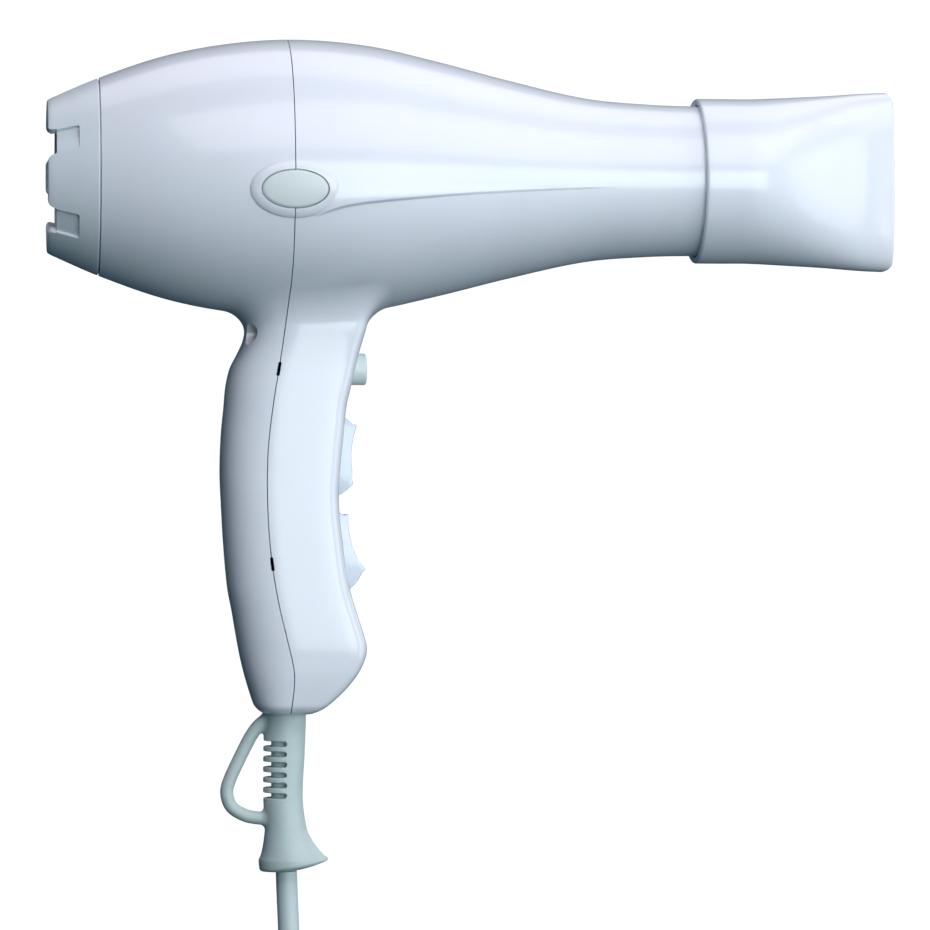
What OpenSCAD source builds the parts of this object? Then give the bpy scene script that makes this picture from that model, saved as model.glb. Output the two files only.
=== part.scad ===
// Hand-held hair dryer: barrel, pistol grip, twist-off rear cover, concentrator nozzle,
// two rocker switches, cool-shot button, moulded strain relief with hanging loop, and mains lead.
// The origin is the middle of the grip. +X points out of the nozzle and +Z points up.

/* [Shells] */
// Height of the barrel axis above the grip centre
axis_z = 96.5; // [96:0.5:97.5]
// Wall thickness of the moulded shells
wall = 2.2; // [1.8:0.1:2.4]
// Gap between a moving piece and the shell around it
gap = 0.3; // [0.3:0.05:0.4]
// Plane where the front and rear shells meet on the barrel
seam_x = 2.3; // [1.5:0.1:3]

/* [Rear cover] */
// Plane where the rear cover meets the rear shell
cover_x = -60; // [-60.5:0.1:-59.5]
// Length of the rear cover behind that plane
cover_len = 17; // [16:0.5:18]
// Width of each finger notch in the rim, in degrees
notch_angle = 24; // [18:1:30]

/* [Nozzle] */
// Rear rim of the nozzle
nozzle_x = 137; // [136:0.5:138]
// Length of the nozzle
nozzle_len = 66; // [60:1:70]
// Half height of the mouth slot, outside
mouth_half_z = 29.9; // [28:0.1:31]
// Half width of the mouth slot, outside
mouth_half_y = 9; // [8:0.5:11]

/* [Controls] */
// Width of the rockers
rocker_w = 10; // [9:0.5:11]
// Tilt of a rocker to each side of its middle
rocker_tilt = 18; // [10:1:18]
// Diameter of the cool-shot button
button_d = 10.4; // [9:0.1:10.6]
// Travel of the cool-shot button
button_travel = 2.4; // [1.5:0.1:2.4]

/* [Lead] */
// Diameter of the mains lead
cord_d = 7; // [6.5:0.1:7]
// Length of the straight runs of the folded lead
hank_run = 105; // [100:1:120]

/* [Hidden] */

shell_white = "#E9EFF6";
cap_white = "#DCE8E8";
boot_grey = "#C3D3D1";
steel = "#B8BCC0";
brass = "#C8A850";
mica = "#C9B58A";
black = "#2B2D30";

// Barrel: [station along X, outer radius]
BARREL = [
    [-78, 25.2], [-60, 33.3], [-38, 40.3], [-16, 44.3], [5, 45.6], [28, 43.6], [50, 38.9],
    [75, 32.6], [100, 27.1], [120, 25.3], [137, 24.8], [156, 24.8]
];
muzzle_x = 155;

// Handle: [height, rear edge, front edge, half width]
HANDLE = [
    [-79.2, -2, 9.5, 7], [-78.4, -5.3, 13.4, 11.5], [-76.3, -8.3, 16.4, 14], [-74, -10.2, 18.9, 15.3],
    [-71.5, -11, 21.4, 16], [-66, -12.6, 25.4, 16.8], [-61, -13.8, 27.7, 17.2], [-57.5, -14.5, 28.3, 17.4],
    [-53.8, -15.2, 27.5, 17.5], [-46, -16.5, 25, 17.6], [-38, -18, 22.7, 17.6], [-24, -19.5, 20.5, 17.6],
    [-10, -20.3, 19.1, 17.6], [0, -20.7, 19.5, 17.6], [12, -20.3, 20.7, 17.7], [21.5, -19.4, 21.6, 17.8],
    [28, -18.8, 23.1, 17.9], [34, -17.4, 24.4, 18], [38, -15.2, 25.3, 18.2], [42.5, -13.1, 26.6, 18.6],
    [46.5, -13.1, 28.3, 19.2], [50, -14.6, 30.6, 20], [52, -18, 32.8, 20.8], [54, -21.5, 35.5, 21.8],
    [58, -26, 40, 23.5]
];
handle_round = 2.8;
handle_sides = 32;
cavity_top = 50.4;
cavity_floor = -77;

// Seam down the handle: [height, X]
SEAM = [
    [-90, 3.3], [-66, 3.2], [-54, 0.4], [-43, -2.2], [-32, -4.1], [-20, -5.4], [-5, -6],
    [10, -5.5], [25, -3.4], [36, -1.2], [48, 1], [56, seam_x], [60, seam_x]
];
reach = 400;

// Oval cap on each flank, and the teardrop rim around it
badge_z = 90.5;
badge_a = 10.8;
badge_b = 6.2;
rim_a = 14.4;
rim_b = 9;
rim_step_angle = 35;
rim_height = 0.9;
cap_height = 1.5;
// Tail of the teardrop: [X, half height]
TAIL = [[14.5, 5.2], [22, 4.2], [52, 2.2], [86, 1.1], [105, 0.4]];
tail_end = 105;

// Angles of the finger notches above the horizontal on the left flank
NOTCHES = [23.5, -36.5];
// Bayonet between the rear cover and the rear shell
lip_r = 30.7;
skirt_r = lip_r - gap;
skirt_end = -54.5;
lug_r = 31.9;
lug_x = -56.4;
lug_angle = 12;
unlock_angle = 25;

// Fan, motor and air duct
duct_r = 33.6;
duct_wall = 1.6;
duct_start = -46;
duct_end = 68;
duct_narrow_r = 22.4;
cup_r = 15.8;
cup_wall = 1.4;
motor_r = 14;
shaft_r = 1.6;
fan_r = 32.8;
fan_hub_r = 12;
fan_blades = 7;
vane_count = 7;

// Heater
mica_r = 22.2;
frame_half = 17.3;
coil_r = 19.2;
coil_tube_r = 1.7;
coil_rings = 13;
coil_start = 75;
coil_pitch = 5;

// Controls: pivots of the two rockers, [X, Z]
heat_pivot = [11.6, 5.8];
speed_pivot = [12.3, -27];
rocker_r = 15;
rocker_tip_r = 15.9;
rocker_tip_angle = 36;
rocker_skirt_angle = 72;
pin_r = 1.5;
button_z = 33.8;
button_front = 27.7;
button_flange_x = 19.6;
board_x = 1.4;
board_t = 1.6;

// Screws through the handle: [Y, Z, head seat X, seam X]
SCREWS = [[-10, 45, -6.5, 0.4], [10, 45, -6.5, 0.4], [0, -52, -11, 0.7]];

// Strain relief: [height, centre X, half X, half Y, slope of the ring along X]
BOOT = [
    [-131.5, 2.2, 6, 6, 0], [-130.6, 3.4, 9.6, 9, 0.06], [-128.8, 3.9, 11.4, 10.4, 0.118],
    [-127, 3.7, 11, 10.2, 0.1], [-124, 2.65, 9.25, 8.8, 0.05], [-120.5, 1.8, 7.8, 7.6, 0],
    [-117, 1.2, 6.9, 6.9, 0], [-107, 0.3, 6.5, 6.5, 0], [-93, 0.6, 6.8, 6.6, 0],
    [-79, 1, 6.9, 6.7, 0], [-74.5, 1, 6.9, 6.7, 0]
];
boot_x = 1;
loop_bar_r = 2.15;
LOOP = [
    [-3.5, 0, -81.5], [-6.4, 0, -83], [-9.2, 0, -86.8], [-12.8, 0, -94], [-16.3, 0, -101.2],
    [-17.3, 0, -105.5], [-16, 0, -109.7], [-12.4, 0, -112.6], [-8, 0, -113.6], [-3.5, 0, -113.8]
];
slot_count = 6;
slot_top = -89.1;
slot_pitch = 3.4;
slot_h = 1.7;

// Mains lead: free stretches, and the folded hank between them
cord_exit = [2.2, 0, -131.5];
ROUTE = [cord_exit, [2.2, 0, -140], [2.2, 0, -150], [2.2, 0, -160], [2.2, 0, -171.5]];
hank_top = -160;
fold_r = 30;
hank_half_x = fold_r + cord_d / 2;
hank_x = cord_exit[0] + fold_r;
hank_z = hank_top - hank_half_x - hank_run / 2;
hank_turns = 4;
// Space from one turn of the hank to the next, along Y
turn_pitch = cord_d + 0.2;
entry_h = 22;
tail_z = hank_z - hank_run / 2 - entry_h;
plug_top = -353;
tail_y = hank_turns * turn_pitch;
TAIL_ROUTE = [[2.2, tail_y, tail_z], [2.2, tail_y, -336], [2.2, tail_y, -344], [2.2, tail_y, plug_top]];
plug_body_len = 46;
pin_len = 19;
pin_pitch = 19;
plug_pin_r = 2.4;
pin_neck_r = 2.1;

// ---- curves and sweeps ----
function span(k, t, i = 0) = (i >= len(k) - 2 || t < k[i + 1][0]) ? i : span(k, t, i + 1);
function slope(k, i, c) =
    let(a = max(i - 1, 0), b = min(i + 1, len(k) - 1)) (k[b][c] - k[a][c]) / (k[b][0] - k[a][0]);
// Smooth curve through the rows of k: column c at position t
function curve(k, t, c = 1) =
    let(i = span(k, t), h = k[i + 1][0] - k[i][0], u = (t - k[i][0]) / h)
    k[i][c] * (2 * pow(u, 3) - 3 * u * u + 1) + slope(k, i, c) * h * (pow(u, 3) - 2 * u * u + u)
    + k[i + 1][c] * (3 * u * u - 2 * pow(u, 3)) + slope(k, i + 1, c) * h * (pow(u, 3) - u * u);
function barrel_r(x) = curve(BARREL, x);
function seam_at(z) = curve(SEAM, z);
function unit(v) = v / norm(v);
function bulge(v, n) = sign(v) * pow(abs(v), 2 / n);
function tangent(p, i) = unit(p[min(i + 1, len(p) - 1)] - p[max(i - 1, 0)]);
function ring_at(p, i, r, n, ref) =
    let(t = tangent(p, i), u = unit(cross(ref, t)), v = cross(t, u))
    [for (k = [0:n - 1]) p[i] + r * (cos(360 * k / n) * u + sin(360 * k / n) * v)];

// Closed solid through rings of points, each ring counter-clockwise seen from its far end
module loft(rings) {
    n = len(rings[0]);
    m = len(rings);
    polyhedron(
        points = [for (r = rings) each r],
        faces = [
            [for (j = [0:n - 1]) j],
            for (i = [0:m - 2], j = [0:n - 1]) [i * n + j, (i + 1) * n + j, (i + 1) * n + (j + 1) % n],
            for (i = [0:m - 2], j = [0:n - 1]) [i * n + j, (i + 1) * n + (j + 1) % n, i * n + (j + 1) % n],
            [for (j = [n - 1:-1:0]) (m - 1) * n + j]
        ]);
}
module sweep(p, r, n = 8, ref = [0, 1, 0])
    loft([for (i = [0:len(p) - 1]) ring_at(p, i, r, n, ref)]);

// ---- placing helpers ----
module on_axis(x = 0) translate([x, 0, axis_z]) rotate([0, 90, 0]) children();
module along_x(x, y, z) translate([x, y, z]) rotate([0, 90, 0]) children();
module along_y(x, z) translate([x, 0, z]) rotate([90, 0, 0]) children();
// Solid of revolution about the barrel axis, from [radius, X] points
module turned(pts, fn = 96) on_axis() rotate_extrude($fn = fn) polygon(pts);
module tube(x0, x1, r_in, r_out) turned([[r_in, x0], [r_out, x0], [r_out, x1], [r_in, x1]]);
// Outline drawn in X and Z, extruded across Y
module across(w) rotate([90, 0, 0]) linear_extrude(height = w, center = true) children();

// ---- shells ----
function barrel_line(x0, x1, inset, steps) =
    [for (i = [0:steps]) let(x = x0 + (x1 - x0) * i / steps) [barrel_r(x) - inset, x]];
function handle_ring(z, inset) =
    let(a = curve(HANDLE, z, 1) + inset, b = curve(HANDLE, z, 2) - inset, w = curve(HANDLE, z, 3) - inset)
    [for (k = [0:handle_sides - 1]) let(t = 360 * k / handle_sides)
        [(a + b) / 2 + (b - a) / 2 * bulge(cos(t), handle_round), w * bulge(sin(t), handle_round), z]];
CAVITY_LEVELS = [
    cavity_floor, -74.5, -71.5, -66, -61, -57.5, -53.8, -46, -38, -24, -10, 0, 12, 21.5, 28, 34, 38,
    42.5, 46.5, cavity_top
];

module handle_outer() loft([for (row = HANDLE) handle_ring(row[0], 0)]);
module handle_inner() loft([for (z = CAVITY_LEVELS) handle_ring(z, wall)]);
// Posts and bosses, cut off in the middle of the handle's wall
module rooted_in_wall() intersection() {
    loft([for (z = CAVITY_LEVELS) handle_ring(z, wall / 2)]);
    union() children();
}
module barrel_outer()
    turned(concat([[0, cover_x]], barrel_line(cover_x, muzzle_x, 0, 36), [[0, muzzle_x]]));
module barrel_cavity() {
    turned(concat([[0, cover_x + 3]], barrel_line(cover_x + 3, muzzle_x + 1, wall, 36), [[0, muzzle_x + 1]]));
    on_axis(cover_x - 1) cylinder(r = lip_r, h = 5, $fn = 96);
}

// Everything in front of the seam
module front_region() across(200)
    polygon(concat([[seam_x, 200]], [for (z = [56:-8:-88]) [seam_at(z), z]], [[3.3, -reach], [reach, -reach],
        [reach, 200]]));

module teardrop_2d() {
    arc = [for (a = [180:-14.5:rim_step_angle]) [seam_x + rim_a * cos(a), rim_b * sin(a)]];
    tail = [for (x = [16, 19, 22, 32, 42, 57, 72, 88, tail_end]) [x, curve(TAIL, x)]];
    half = concat(arc, tail);
    low = [for (i = [len(half) - 1:-1:1]) [half[i][0], -half[i][1]]];
    translate([0, badge_z]) polygon(concat(half, low));
}
module oval_2d(a, b) translate([seam_x, badge_z])
    polygon([for (t = [0:10:350]) [a * cos(t), b * sin(t)]]);

module flank(side) translate([0, side * 35, 0]) across(30) children();
module relief() intersection() {
    turned(concat(barrel_line(-14, tail_end + 2, wall / 2, 24), [for (i = [24:-1:0])
        let(x = -14 + (tail_end + 16) * i / 24) [barrel_r(x) + rim_height, x]]));
    union() {
        flank(1) teardrop_2d();
        flank(-1) teardrop_2d();
    }
}

module screw_seats() for (s = SCREWS) {
    along_x(-30, s[0], s[1]) cylinder(r = 3.3, h = 30 + s[2], $fn = 32);
    along_x(s[2] - 1, s[0], s[1]) cylinder(r = 1.6, h = 1 + s[3] - s[2] + 0.1, $fn = 24);
}

module shell_body() difference() {
    union() {
        barrel_outer();
        handle_outer();
        relief();
    }
    barrel_cavity();
    handle_inner();
    for (side = [-1, 1]) flank(side) oval_2d(badge_a, badge_b);
    translate([4, 0, 45]) cylinder(r = 7, h = 15, $fn = 48);
    translate([boot_x, 0, -85]) cylinder(r = 7.1, h = 10.4, $fn = 48);
    // Snap slots on the seam
    for (z = [33.5, -29.9], side = [-1, 1])
        translate([seam_at(z), side * 17, z]) cube([1.2, 6, 4.5], center = true);
}

// The oval's floor: the barrel wall itself, put back under the cap
module barrel_wall_at_badge() difference() {
    intersection() {
        barrel_outer();
        union() for (side = [-1, 1]) flank(side) oval_2d(badge_a + 1, badge_b + 1);
    }
    barrel_cavity();
    for (side = [-1, 1], x = [-6, 6]) translate([seam_x + x, side * 45, badge_z])
        rotate([90, 0, 0]) cylinder(r = 1.3, h = 20, center = true, $fn = 24);
}

module shell() {
    shell_body();
    barrel_wall_at_badge();
}

module rib(x0, r_in) turned([[r_in, x0], [barrel_r(x0) - 1, x0], [barrel_r(x0 + 1.6) - 1, x0 + 1.6],
    [r_in, x0 + 1.6]]);

module front_housing() color(shell_white) difference() {
    union() {
        intersection() {
            shell();
            front_region();
        }
        rooted_in_wall() {
            for (s = SCREWS) along_x(s[3], s[0], s[1]) cylinder(r = 3.6, h = 40, $fn = 32);
            for (z = [23.6, -45]) along_x(board_x + board_t, 0, z) cylinder(r = 1.8, h = 30, $fn = 24);
            for (y = [-6.8, 6.8]) along_x(-2.4, y, -66) cylinder(r = 2.2, h = 40, $fn = 24);
        }
        rib(14, duct_r + duct_wall + 0.15);
        rib(64, duct_narrow_r + duct_wall + 0.15);
    }
    for (s = SCREWS) along_x(s[3] - 0.1, s[0], s[1]) cylinder(r = 1.35, h = 12, $fn = 24);
    for (z = [23.6, -45]) along_x(board_x, 0, z) cylinder(r = 0.9, h = 9, $fn = 24);
    for (y = [-6.8, 6.8]) along_x(-3, y, -66) cylinder(r = 1.1, h = 9, $fn = 24);
    along_x(15, 0, button_z) cylinder(r = button_d / 2 + gap, h = 20, $fn = 48);
    // Slots for the rockers, wider near the outside where the raised tips sink in
    for (p = [heat_pivot, speed_pivot], c = [[rocker_r, 1], [rocker_tip_r, 8]]) intersection() {
        along_y(p[0], p[1]) cylinder(r = c[0] + gap, h = rocker_w + 2 * gap, center = true, $fn = 64);
        translate([p[0] + c[1], -20, p[1] - 20]) cube([40, 40, 40]);
    }
}

module rear_housing() color(shell_white) difference() {
    union() {
        difference() {
            shell();
            front_region();
        }
        rooted_in_wall() for (s = SCREWS)
            along_x(s[2] - 12, s[0], s[1]) cylinder(r = 4.4, h = s[3] - s[2] + 11.9, $fn = 32);
        rib(-30, duct_r + duct_wall + 0.15);
    }
    screw_seats();
    // Ways through the lip for the bayonet lugs
    for (a = [0:120:240]) intersection() {
        on_axis(cover_x - 1) cylinder(r = lug_r + gap, h = 6, $fn = 96);
        on_axis() rotate([0, 0, a + unlock_angle]) lug_wedge(lug_angle + 4);
    }
}

module lug_wedge(angle) linear_extrude(height = 200, center = true)
    polygon([[0, 0], 60 * [cos(angle / 2), -sin(angle / 2)], 60 * [cos(angle / 2), sin(angle / 2)]]);

module rear_cover() color(shell_white) {
    back = cover_x - cover_len;
    front = cover_x - gap;
    difference() {
        turned(concat(barrel_line(back, front, 0, 6), [for (i = [6:-1:0])
            let(x = back + (front - back) * i / 6) [barrel_r(x) - wall, x]]));
        // Finger notches in the rim, and the shallow dish in front of each
        for (side = [-1, 1], a = NOTCHES) {
            notch(side, a, notch_angle, back - 1, back + 3, 0);
            notch(side, a, notch_angle - 4, back - 1, back + 10, wall - 1);
        }
    }
    tube(front - 2, front, 27.2, barrel_r(front) - wall + 0.4);
    tube(front - 1, skirt_end, skirt_r - 1.6, skirt_r);
    for (a = [0:120:240]) intersection() {
        tube(lug_x, skirt_end - 0.2, skirt_r - 0.8, lug_r);
        on_axis() rotate([0, 0, a]) lug_wedge(lug_angle);
    }
    // Intake guard
    for (r = [3:4:23]) tube(-70.2, -68.6, r, r + 1.2);
    tube(-70.2, -68.6, 26, barrel_r(-69) - wall + 0.4);
    for (a = [0:45:315]) on_axis(-70) rotate([0, 0, a]) translate([3.4, -0.7, 0]) cube([23.4, 1.4, 1.2]);
}

// Sector of the cover's wall, on one flank; the pattern repeats after half a turn
module notch(side, angle, width, x0, x1, floor_inset) difference() {
    intersection() {
        on_axis(x0) cylinder(r = 40, h = x1 - x0, $fn = 96);
        translate([0, 0, axis_z]) rotate([-angle, 0, 0]) rotate([0, 90, 0])
            rotate([0, 0, side * 90]) lug_wedge(width);
    }
    if (floor_inset > 0)
        turned(concat([[0, x0 - 1]], barrel_line(x0 - 1, x1 + 1, wall - floor_inset, 6), [[0, x1 + 1]]));
}

module filter_screen() color("#9AA3A8") {
    x0 = cover_x - gap - 2 - 1.2;
    tube(x0, x0 + 1.2, 25.4, 28.4);
    intersection() {
        on_axis(x0 + 0.2) cylinder(r = 25.6, h = 0.8, $fn = 96);
        union() for (i = [-8:8]) {
            translate([x0 + 0.4, i * 3 - 0.25, axis_z - 30]) cube([0.4, 0.5, 60]);
            translate([x0 + 0.4, -30, axis_z + i * 3 - 0.25]) cube([0.4, 60, 0.5]);
        }
    }
}

// ---- fan, motor and duct ----
module fan_impeller() color("#3E4247") difference() {
    union() {
        turned([[0, -49], [5, -48.4], [9, -46.6], [11.2, -44.6], [fan_hub_r, -42], [fan_hub_r, -32], [0, -32]]);
        intersection() {
            on_axis(-46) cylinder(r = fan_r, h = 15, $fn = 96);
            for (k = [0:fan_blades - 1]) on_axis(-38) rotate([0, 0, 360 * k / fan_blades])
                translate([11, 0, 0]) rotate([38, 0, 0]) translate([0, -9, -0.7]) cube([24, 18, 1.4]);
        }
    }
    on_axis(-43) cylinder(r = shaft_r + 0.02, h = 12, $fn = 32);
}

module motor_shaft() color(steel) on_axis(-43) cylinder(r = shaft_r, h = 47, $fn = 32);

module motor_can() color("#AEB3B8") {
    difference() {
        turned([[0, -27.5], [4, -27.5], [4, -25], [13, -25], [motor_r, -24], [motor_r, 8], [0, 8]]);
        on_axis(-28) cylinder(r = shaft_r + 0.05, h = 33, $fn = 32);
    }
    for (y = [-4, 4]) translate([7.5, y - 0.4, axis_z - 2]) cube([3.7, 0.8, 4]);
}

module rubber_ring(x) color(black) tube(x, x + 5, motor_r + 0.05, cup_r - 0.05);
module motor_ring_rear() rubber_ring(-23);
module motor_ring_front() rubber_ring(0);

module motor_duct() color("#D9D4C4") difference() {
    union() {
        turned([
            [duct_r, duct_start], [duct_r + duct_wall, duct_start], [duct_r + duct_wall, 20],
            [duct_narrow_r + duct_wall, 62], [duct_narrow_r + duct_wall, duct_end],
            [duct_narrow_r, duct_end], [duct_narrow_r, 62], [duct_r, 20]
        ]);
        tube(-26, 9, cup_r, cup_r + cup_wall);
        tube(8.9, 10.4, 8, cup_r + cup_wall);
        for (k = [0:vane_count - 1]) on_axis(-24) rotate([0, 0, 180 + 360 * k / vane_count])
            translate([cup_r + 0.5, -0.7, 0]) cube([duct_r - cup_r, 1.4, 32]);
    }
    translate([8, 0, axis_z - 40]) cylinder(r = 6, h = 10, $fn = 32);
}

module rectifier() {
    color("#2F6B3C") on_axis(11.2) difference() {
        cylinder(r = 10, h = 1.4, $fn = 64);
        translate([0, 0, -1]) cylinder(r = 2, h = 4, $fn = 24);
    }
    color(black) for (y = [-7, -2.4, 2.4, 7]) translate([14.1, y, axis_z - 3])
        cylinder(r = 1.4, h = 6, $fn = 24);
}

// ---- heater ----
module mica_tube() color(mica) tube(62, 148, mica_r - 0.8, mica_r);

module heater_frame() color(mica) for (a = [0, 90]) translate([0, 0, axis_z]) rotate([a, 0, 0]) {
    translate([66, -frame_half, -0.4]) cube([78, 2 * frame_half, 0.8]);
    for (x = [66, 142]) translate([x, -21, -0.4]) cube([4, 42, 0.8]);
}

module heater_coil() color("#8C8580") for (i = [0:coil_rings - 1]) on_axis(coil_start + i * coil_pitch)
    rotate_extrude($fn = 64) translate([coil_r, 0]) circle(r = coil_tube_r, $fn = 20);

module heater_leads() color("#E8E2D0") for (side = [-1, 1])
    sweep([[16.5, side * 9, axis_z - 6], [22, side * 9.4, axis_z - 6], [34, side * 9.6, axis_z - 6],
        [48, side * 9.6, axis_z - 5.6], [65.8, side * 9, axis_z - 4]], 0.9);

module thermostat() color(steel) translate([90, 3.6, axis_z + 8.5]) rotate([90, 0, 0])
    cylinder(r = 5, h = 3, $fn = 48);

module thermal_fuse() color(brass) along_x(102, 2.6, axis_z + 8.5) cylinder(r = 2, h = 12, $fn = 32);

module outlet_grille() color("#5B5F63") {
    tube(149, 153, 20.8, 22.4);
    intersection() {
        on_axis(149) cylinder(r = 21.2, h = 3, $fn = 96);
        union() {
            for (z = [-14:7:14]) translate([149.5, -22, axis_z + z - 0.6]) cube([2, 44, 1.2]);
            translate([149.5, -0.6, axis_z - 22]) cube([2, 1.2, 44]);
        }
    }
}

// ---- nozzle ----
// [station along X, half height, half width, squareness]
function nozzle_rows() = let(end = nozzle_x + nozzle_len) [
    [nozzle_x, 27.3, 27.3, 2], [nozzle_x + 18, 27.3, 27.1, 2], [nozzle_x + 31, 27.9, 22.9, 2.1],
    [nozzle_x + 44, 28.6, 16.8, 2.4], [end - 10, mouth_half_z - 0.4, mouth_half_y + 2.6, 2.8],
    [end, mouth_half_z, mouth_half_y, 3.1]
];
function nozzle_ring(x, inset) =
    let(k = nozzle_rows(), h = curve(k, x, 1) - inset, w = curve(k, x, 2) - inset, n = curve(k, x, 3))
    [for (i = [0:39]) let(t = 9 * i) [x, w * bulge(cos(t), n), axis_z + h * bulge(sin(t), n)]];

module nozzle() color(shell_white) {
    end = nozzle_x + nozzle_len;
    corner = 5;
    steps = 9;
    intersection() {
        difference() {
            union() {
                tube(nozzle_x, nozzle_x + 19, 24, 27.3);
                loft([for (i = [0:steps]) nozzle_ring(nozzle_x + 18 + (nozzle_len - 18) * i / steps, 0)]);
            }
            on_axis(nozzle_x - 1) cylinder(r = 24.8 + gap, h = 20, $fn = 96);
            loft([for (i = [0:steps]) nozzle_ring(nozzle_x + 18.5 + (nozzle_len - 17.5) * i / steps, 1.9)]);
        }
        across(80) union() {
            translate([nozzle_x - 1, axis_z - 40]) square([nozzle_len + 1 - corner, 80]);
            translate([nozzle_x, axis_z - mouth_half_z + corner])
                square([nozzle_len, 2 * (mouth_half_z - corner)]);
            for (s = [-1, 1]) translate([end - corner, axis_z + s * (mouth_half_z - corner)])
                circle(r = corner, $fn = 48);
        }
    }
}

// ---- caps on the flanks ----
module badge(side) color(cap_white) {
    intersection() {
        turned(concat(barrel_line(-14, 20, -0.02, 8), [for (i = [8:-1:0])
            let(x = -14 + 34 * i / 8) [barrel_r(x) + cap_height, x]]));
        flank(side) oval_2d(badge_a - 0.25, badge_b - 0.25);
    }
    for (x = [-6, 6]) translate([seam_x + x, side * 44, badge_z]) rotate([90, 0, 0])
        cylinder(r = 1.2, h = 3.4, center = true, $fn = 24);
}
module badge_left() badge(-1);
module badge_right() badge(1);

// ---- controls ----
module cool_shot_button() color(cap_white) along_x(0, 0, button_z) rotate_extrude($fn = 64)
    polygon([
        [0, 15.4], [1.4, 15.4], [1.4, 17.8], [button_d / 2 + 0.9, 17.8], [button_d / 2 + 0.9, button_flange_x],
        [button_d / 2, button_flange_x], [button_d / 2, button_front - 1], [button_d / 2 - 0.3, button_front - 0.3],
        [button_d / 2 - 1, button_front], [0, button_front + 0.2]
    ]);

module cool_shot_spring() color(steel) sweep([for (i = [0:56]) let(a = 360 * i / 14)
    [12.95 + 4.5 * i / 56, 2.8 * cos(a), button_z + 2.8 * sin(a)]], 0.3, 6, [1, 0, 0]);

module cool_shot_switch() color(black) translate([board_x + board_t, -4, button_z - 5])
    cube([12.6 - board_x - board_t, 8, 10]);

function on_circle(r, a) = r * [cos(a), sin(a)];
module rocker(pivot, tilt) translate([pivot[0], 0, pivot[1]]) rotate([0, tilt, 0]) {
    across(rocker_w) polygon(concat(
        [[2.8, -3], [2.8, -13]],
        [for (a = [-rocker_skirt_angle:8:-40]) on_circle(rocker_r, a)],
        [on_circle(rocker_tip_r, -rocker_tip_angle), [11.6, -6], [10.9, 0], [11.6, 6],
            on_circle(rocker_tip_r, rocker_tip_angle)],
        [for (a = [40:8:rocker_skirt_angle]) on_circle(rocker_r, a)],
        [[2.8, 13], [2.8, 3], [0, 3], [0, -3]]));
    rotate([90, 0, 0]) cylinder(r = 3, h = rocker_w, center = true, $fn = 32);
    rotate([90, 0, 0]) cylinder(r = pin_r, h = 13.4, center = true, $fn = 32);
}
module heat_rocker() color("#D8E2EC") rocker(heat_pivot, 0);
module speed_rocker() color("#D8E2EC") rocker(speed_pivot, -rocker_tilt);

module switch_block(pivot) color(black) difference() {
    x0 = board_x + board_t;
    union() {
        translate([x0, -6.9, pivot[1] - 10.5]) cube([pivot[0] - 3.6 - x0, 13.8, 21]);
        for (side = [-1, 1]) translate([x0, side * 6.15 - 0.75, pivot[1] - 4])
            cube([pivot[0] + 3 - x0, 1.5, 8]);
    }
    along_y(pivot[0], pivot[1]) cylinder(r = pin_r + 0.06, h = 20, center = true, $fn = 32);
}
module heat_switch() switch_block(heat_pivot);
module speed_switch() switch_block(speed_pivot);

module switch_board() color("#2F6B3C") difference() {
    translate([board_x, -8, -47.5]) cube([board_t, 16, 88.5]);
    for (z = [23.6, -45]) along_x(board_x - 1, 0, z) cylinder(r = 1, h = 4, $fn = 24);
}

// Cross-head screw seated at x, its shank running towards +X
module small_screw(x, y, z, shank_r, shank, head_r, head) along_x(x, y, z) {
    translate([0, 0, -0.5]) cylinder(r = shank_r, h = shank + 0.5, $fn = 24);
    translate([0, 0, -head]) difference() {
        cylinder(r = head_r, h = head, $fn = 32);
        for (a = [0, 90]) rotate([0, 0, a]) translate([-head_r * 0.6, -0.25, -0.1])
            cube([head_r * 1.2, 0.5, 0.7]);
    }
}
module board_screws() color(steel) for (z = [23.6, -45]) small_screw(board_x, 0, z, 0.85, 9, 1.9, 1.3);

module suppressor() color("#C9A227") translate([board_x - 9, -5, 0]) cube([9, 10, 20]);

module wire_harness() for (side = [-1, 1]) color(side < 0 ? "#6B4A2E" : "#2F5F9E")
    sweep([
        [1, side * 1.6, -58.5], [1, side * 1.6, -57.8], [0.4, side * 4, -56], [-1.4, side * 6.4, -53],
        [-2.4, side * 7.2, -48],
        [-2.4, side * 7.2, -36], [-2.4, side * 7.2, -20], [-2.4, side * 7.2, -4], [-2.4, side * 7.2, 12],
        [-2.4, side * 7.2, 28], [-1.8, side * 6.4, 36], [0.8, side * 4.2, 43], [4, side * 3, 49],
        [6.4, side * 2.6, 55], [9.2, side * 2.6, 62], [13, side * 2.6, 70], [15.6, side * 2.6, 78],
        [16.2, side * 2.6, 86]
    ], 0.9, 8, [1, 0.001, 0]);

module handle_screws() color(steel) for (s = SCREWS)
    small_screw(s[2], s[0], s[1], 1.3, 11 + s[3] - s[2], 2.9, 2.2);

// ---- strain relief and lead ----
module strain_relief() color(boot_grey) difference() {
    union() {
        loft([for (row = BOOT) [for (k = [0:23]) let(c = cos(15 * k), s = sin(15 * k))
            [row[1] + row[2] * c, row[3] * s, row[0] + row[4] * row[2] * c]]]);
        translate([boot_x, 0, -74.5]) cylinder(r = 8, h = 3, $fn = 48);
        sweep(LOOP, loop_bar_r, 12);
    }
    for (i = [0:slot_count - 1], side = [-1, 1])
        translate([-2.5, side * 7.4, slot_top - i * slot_pitch]) cube([6.6, 5, slot_h], center = true);
}

module lead_end() color(boot_grey) translate([boot_x, 0, -71.5]) cylinder(r = cord_d / 2, h = 13, $fn = 32);

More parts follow.
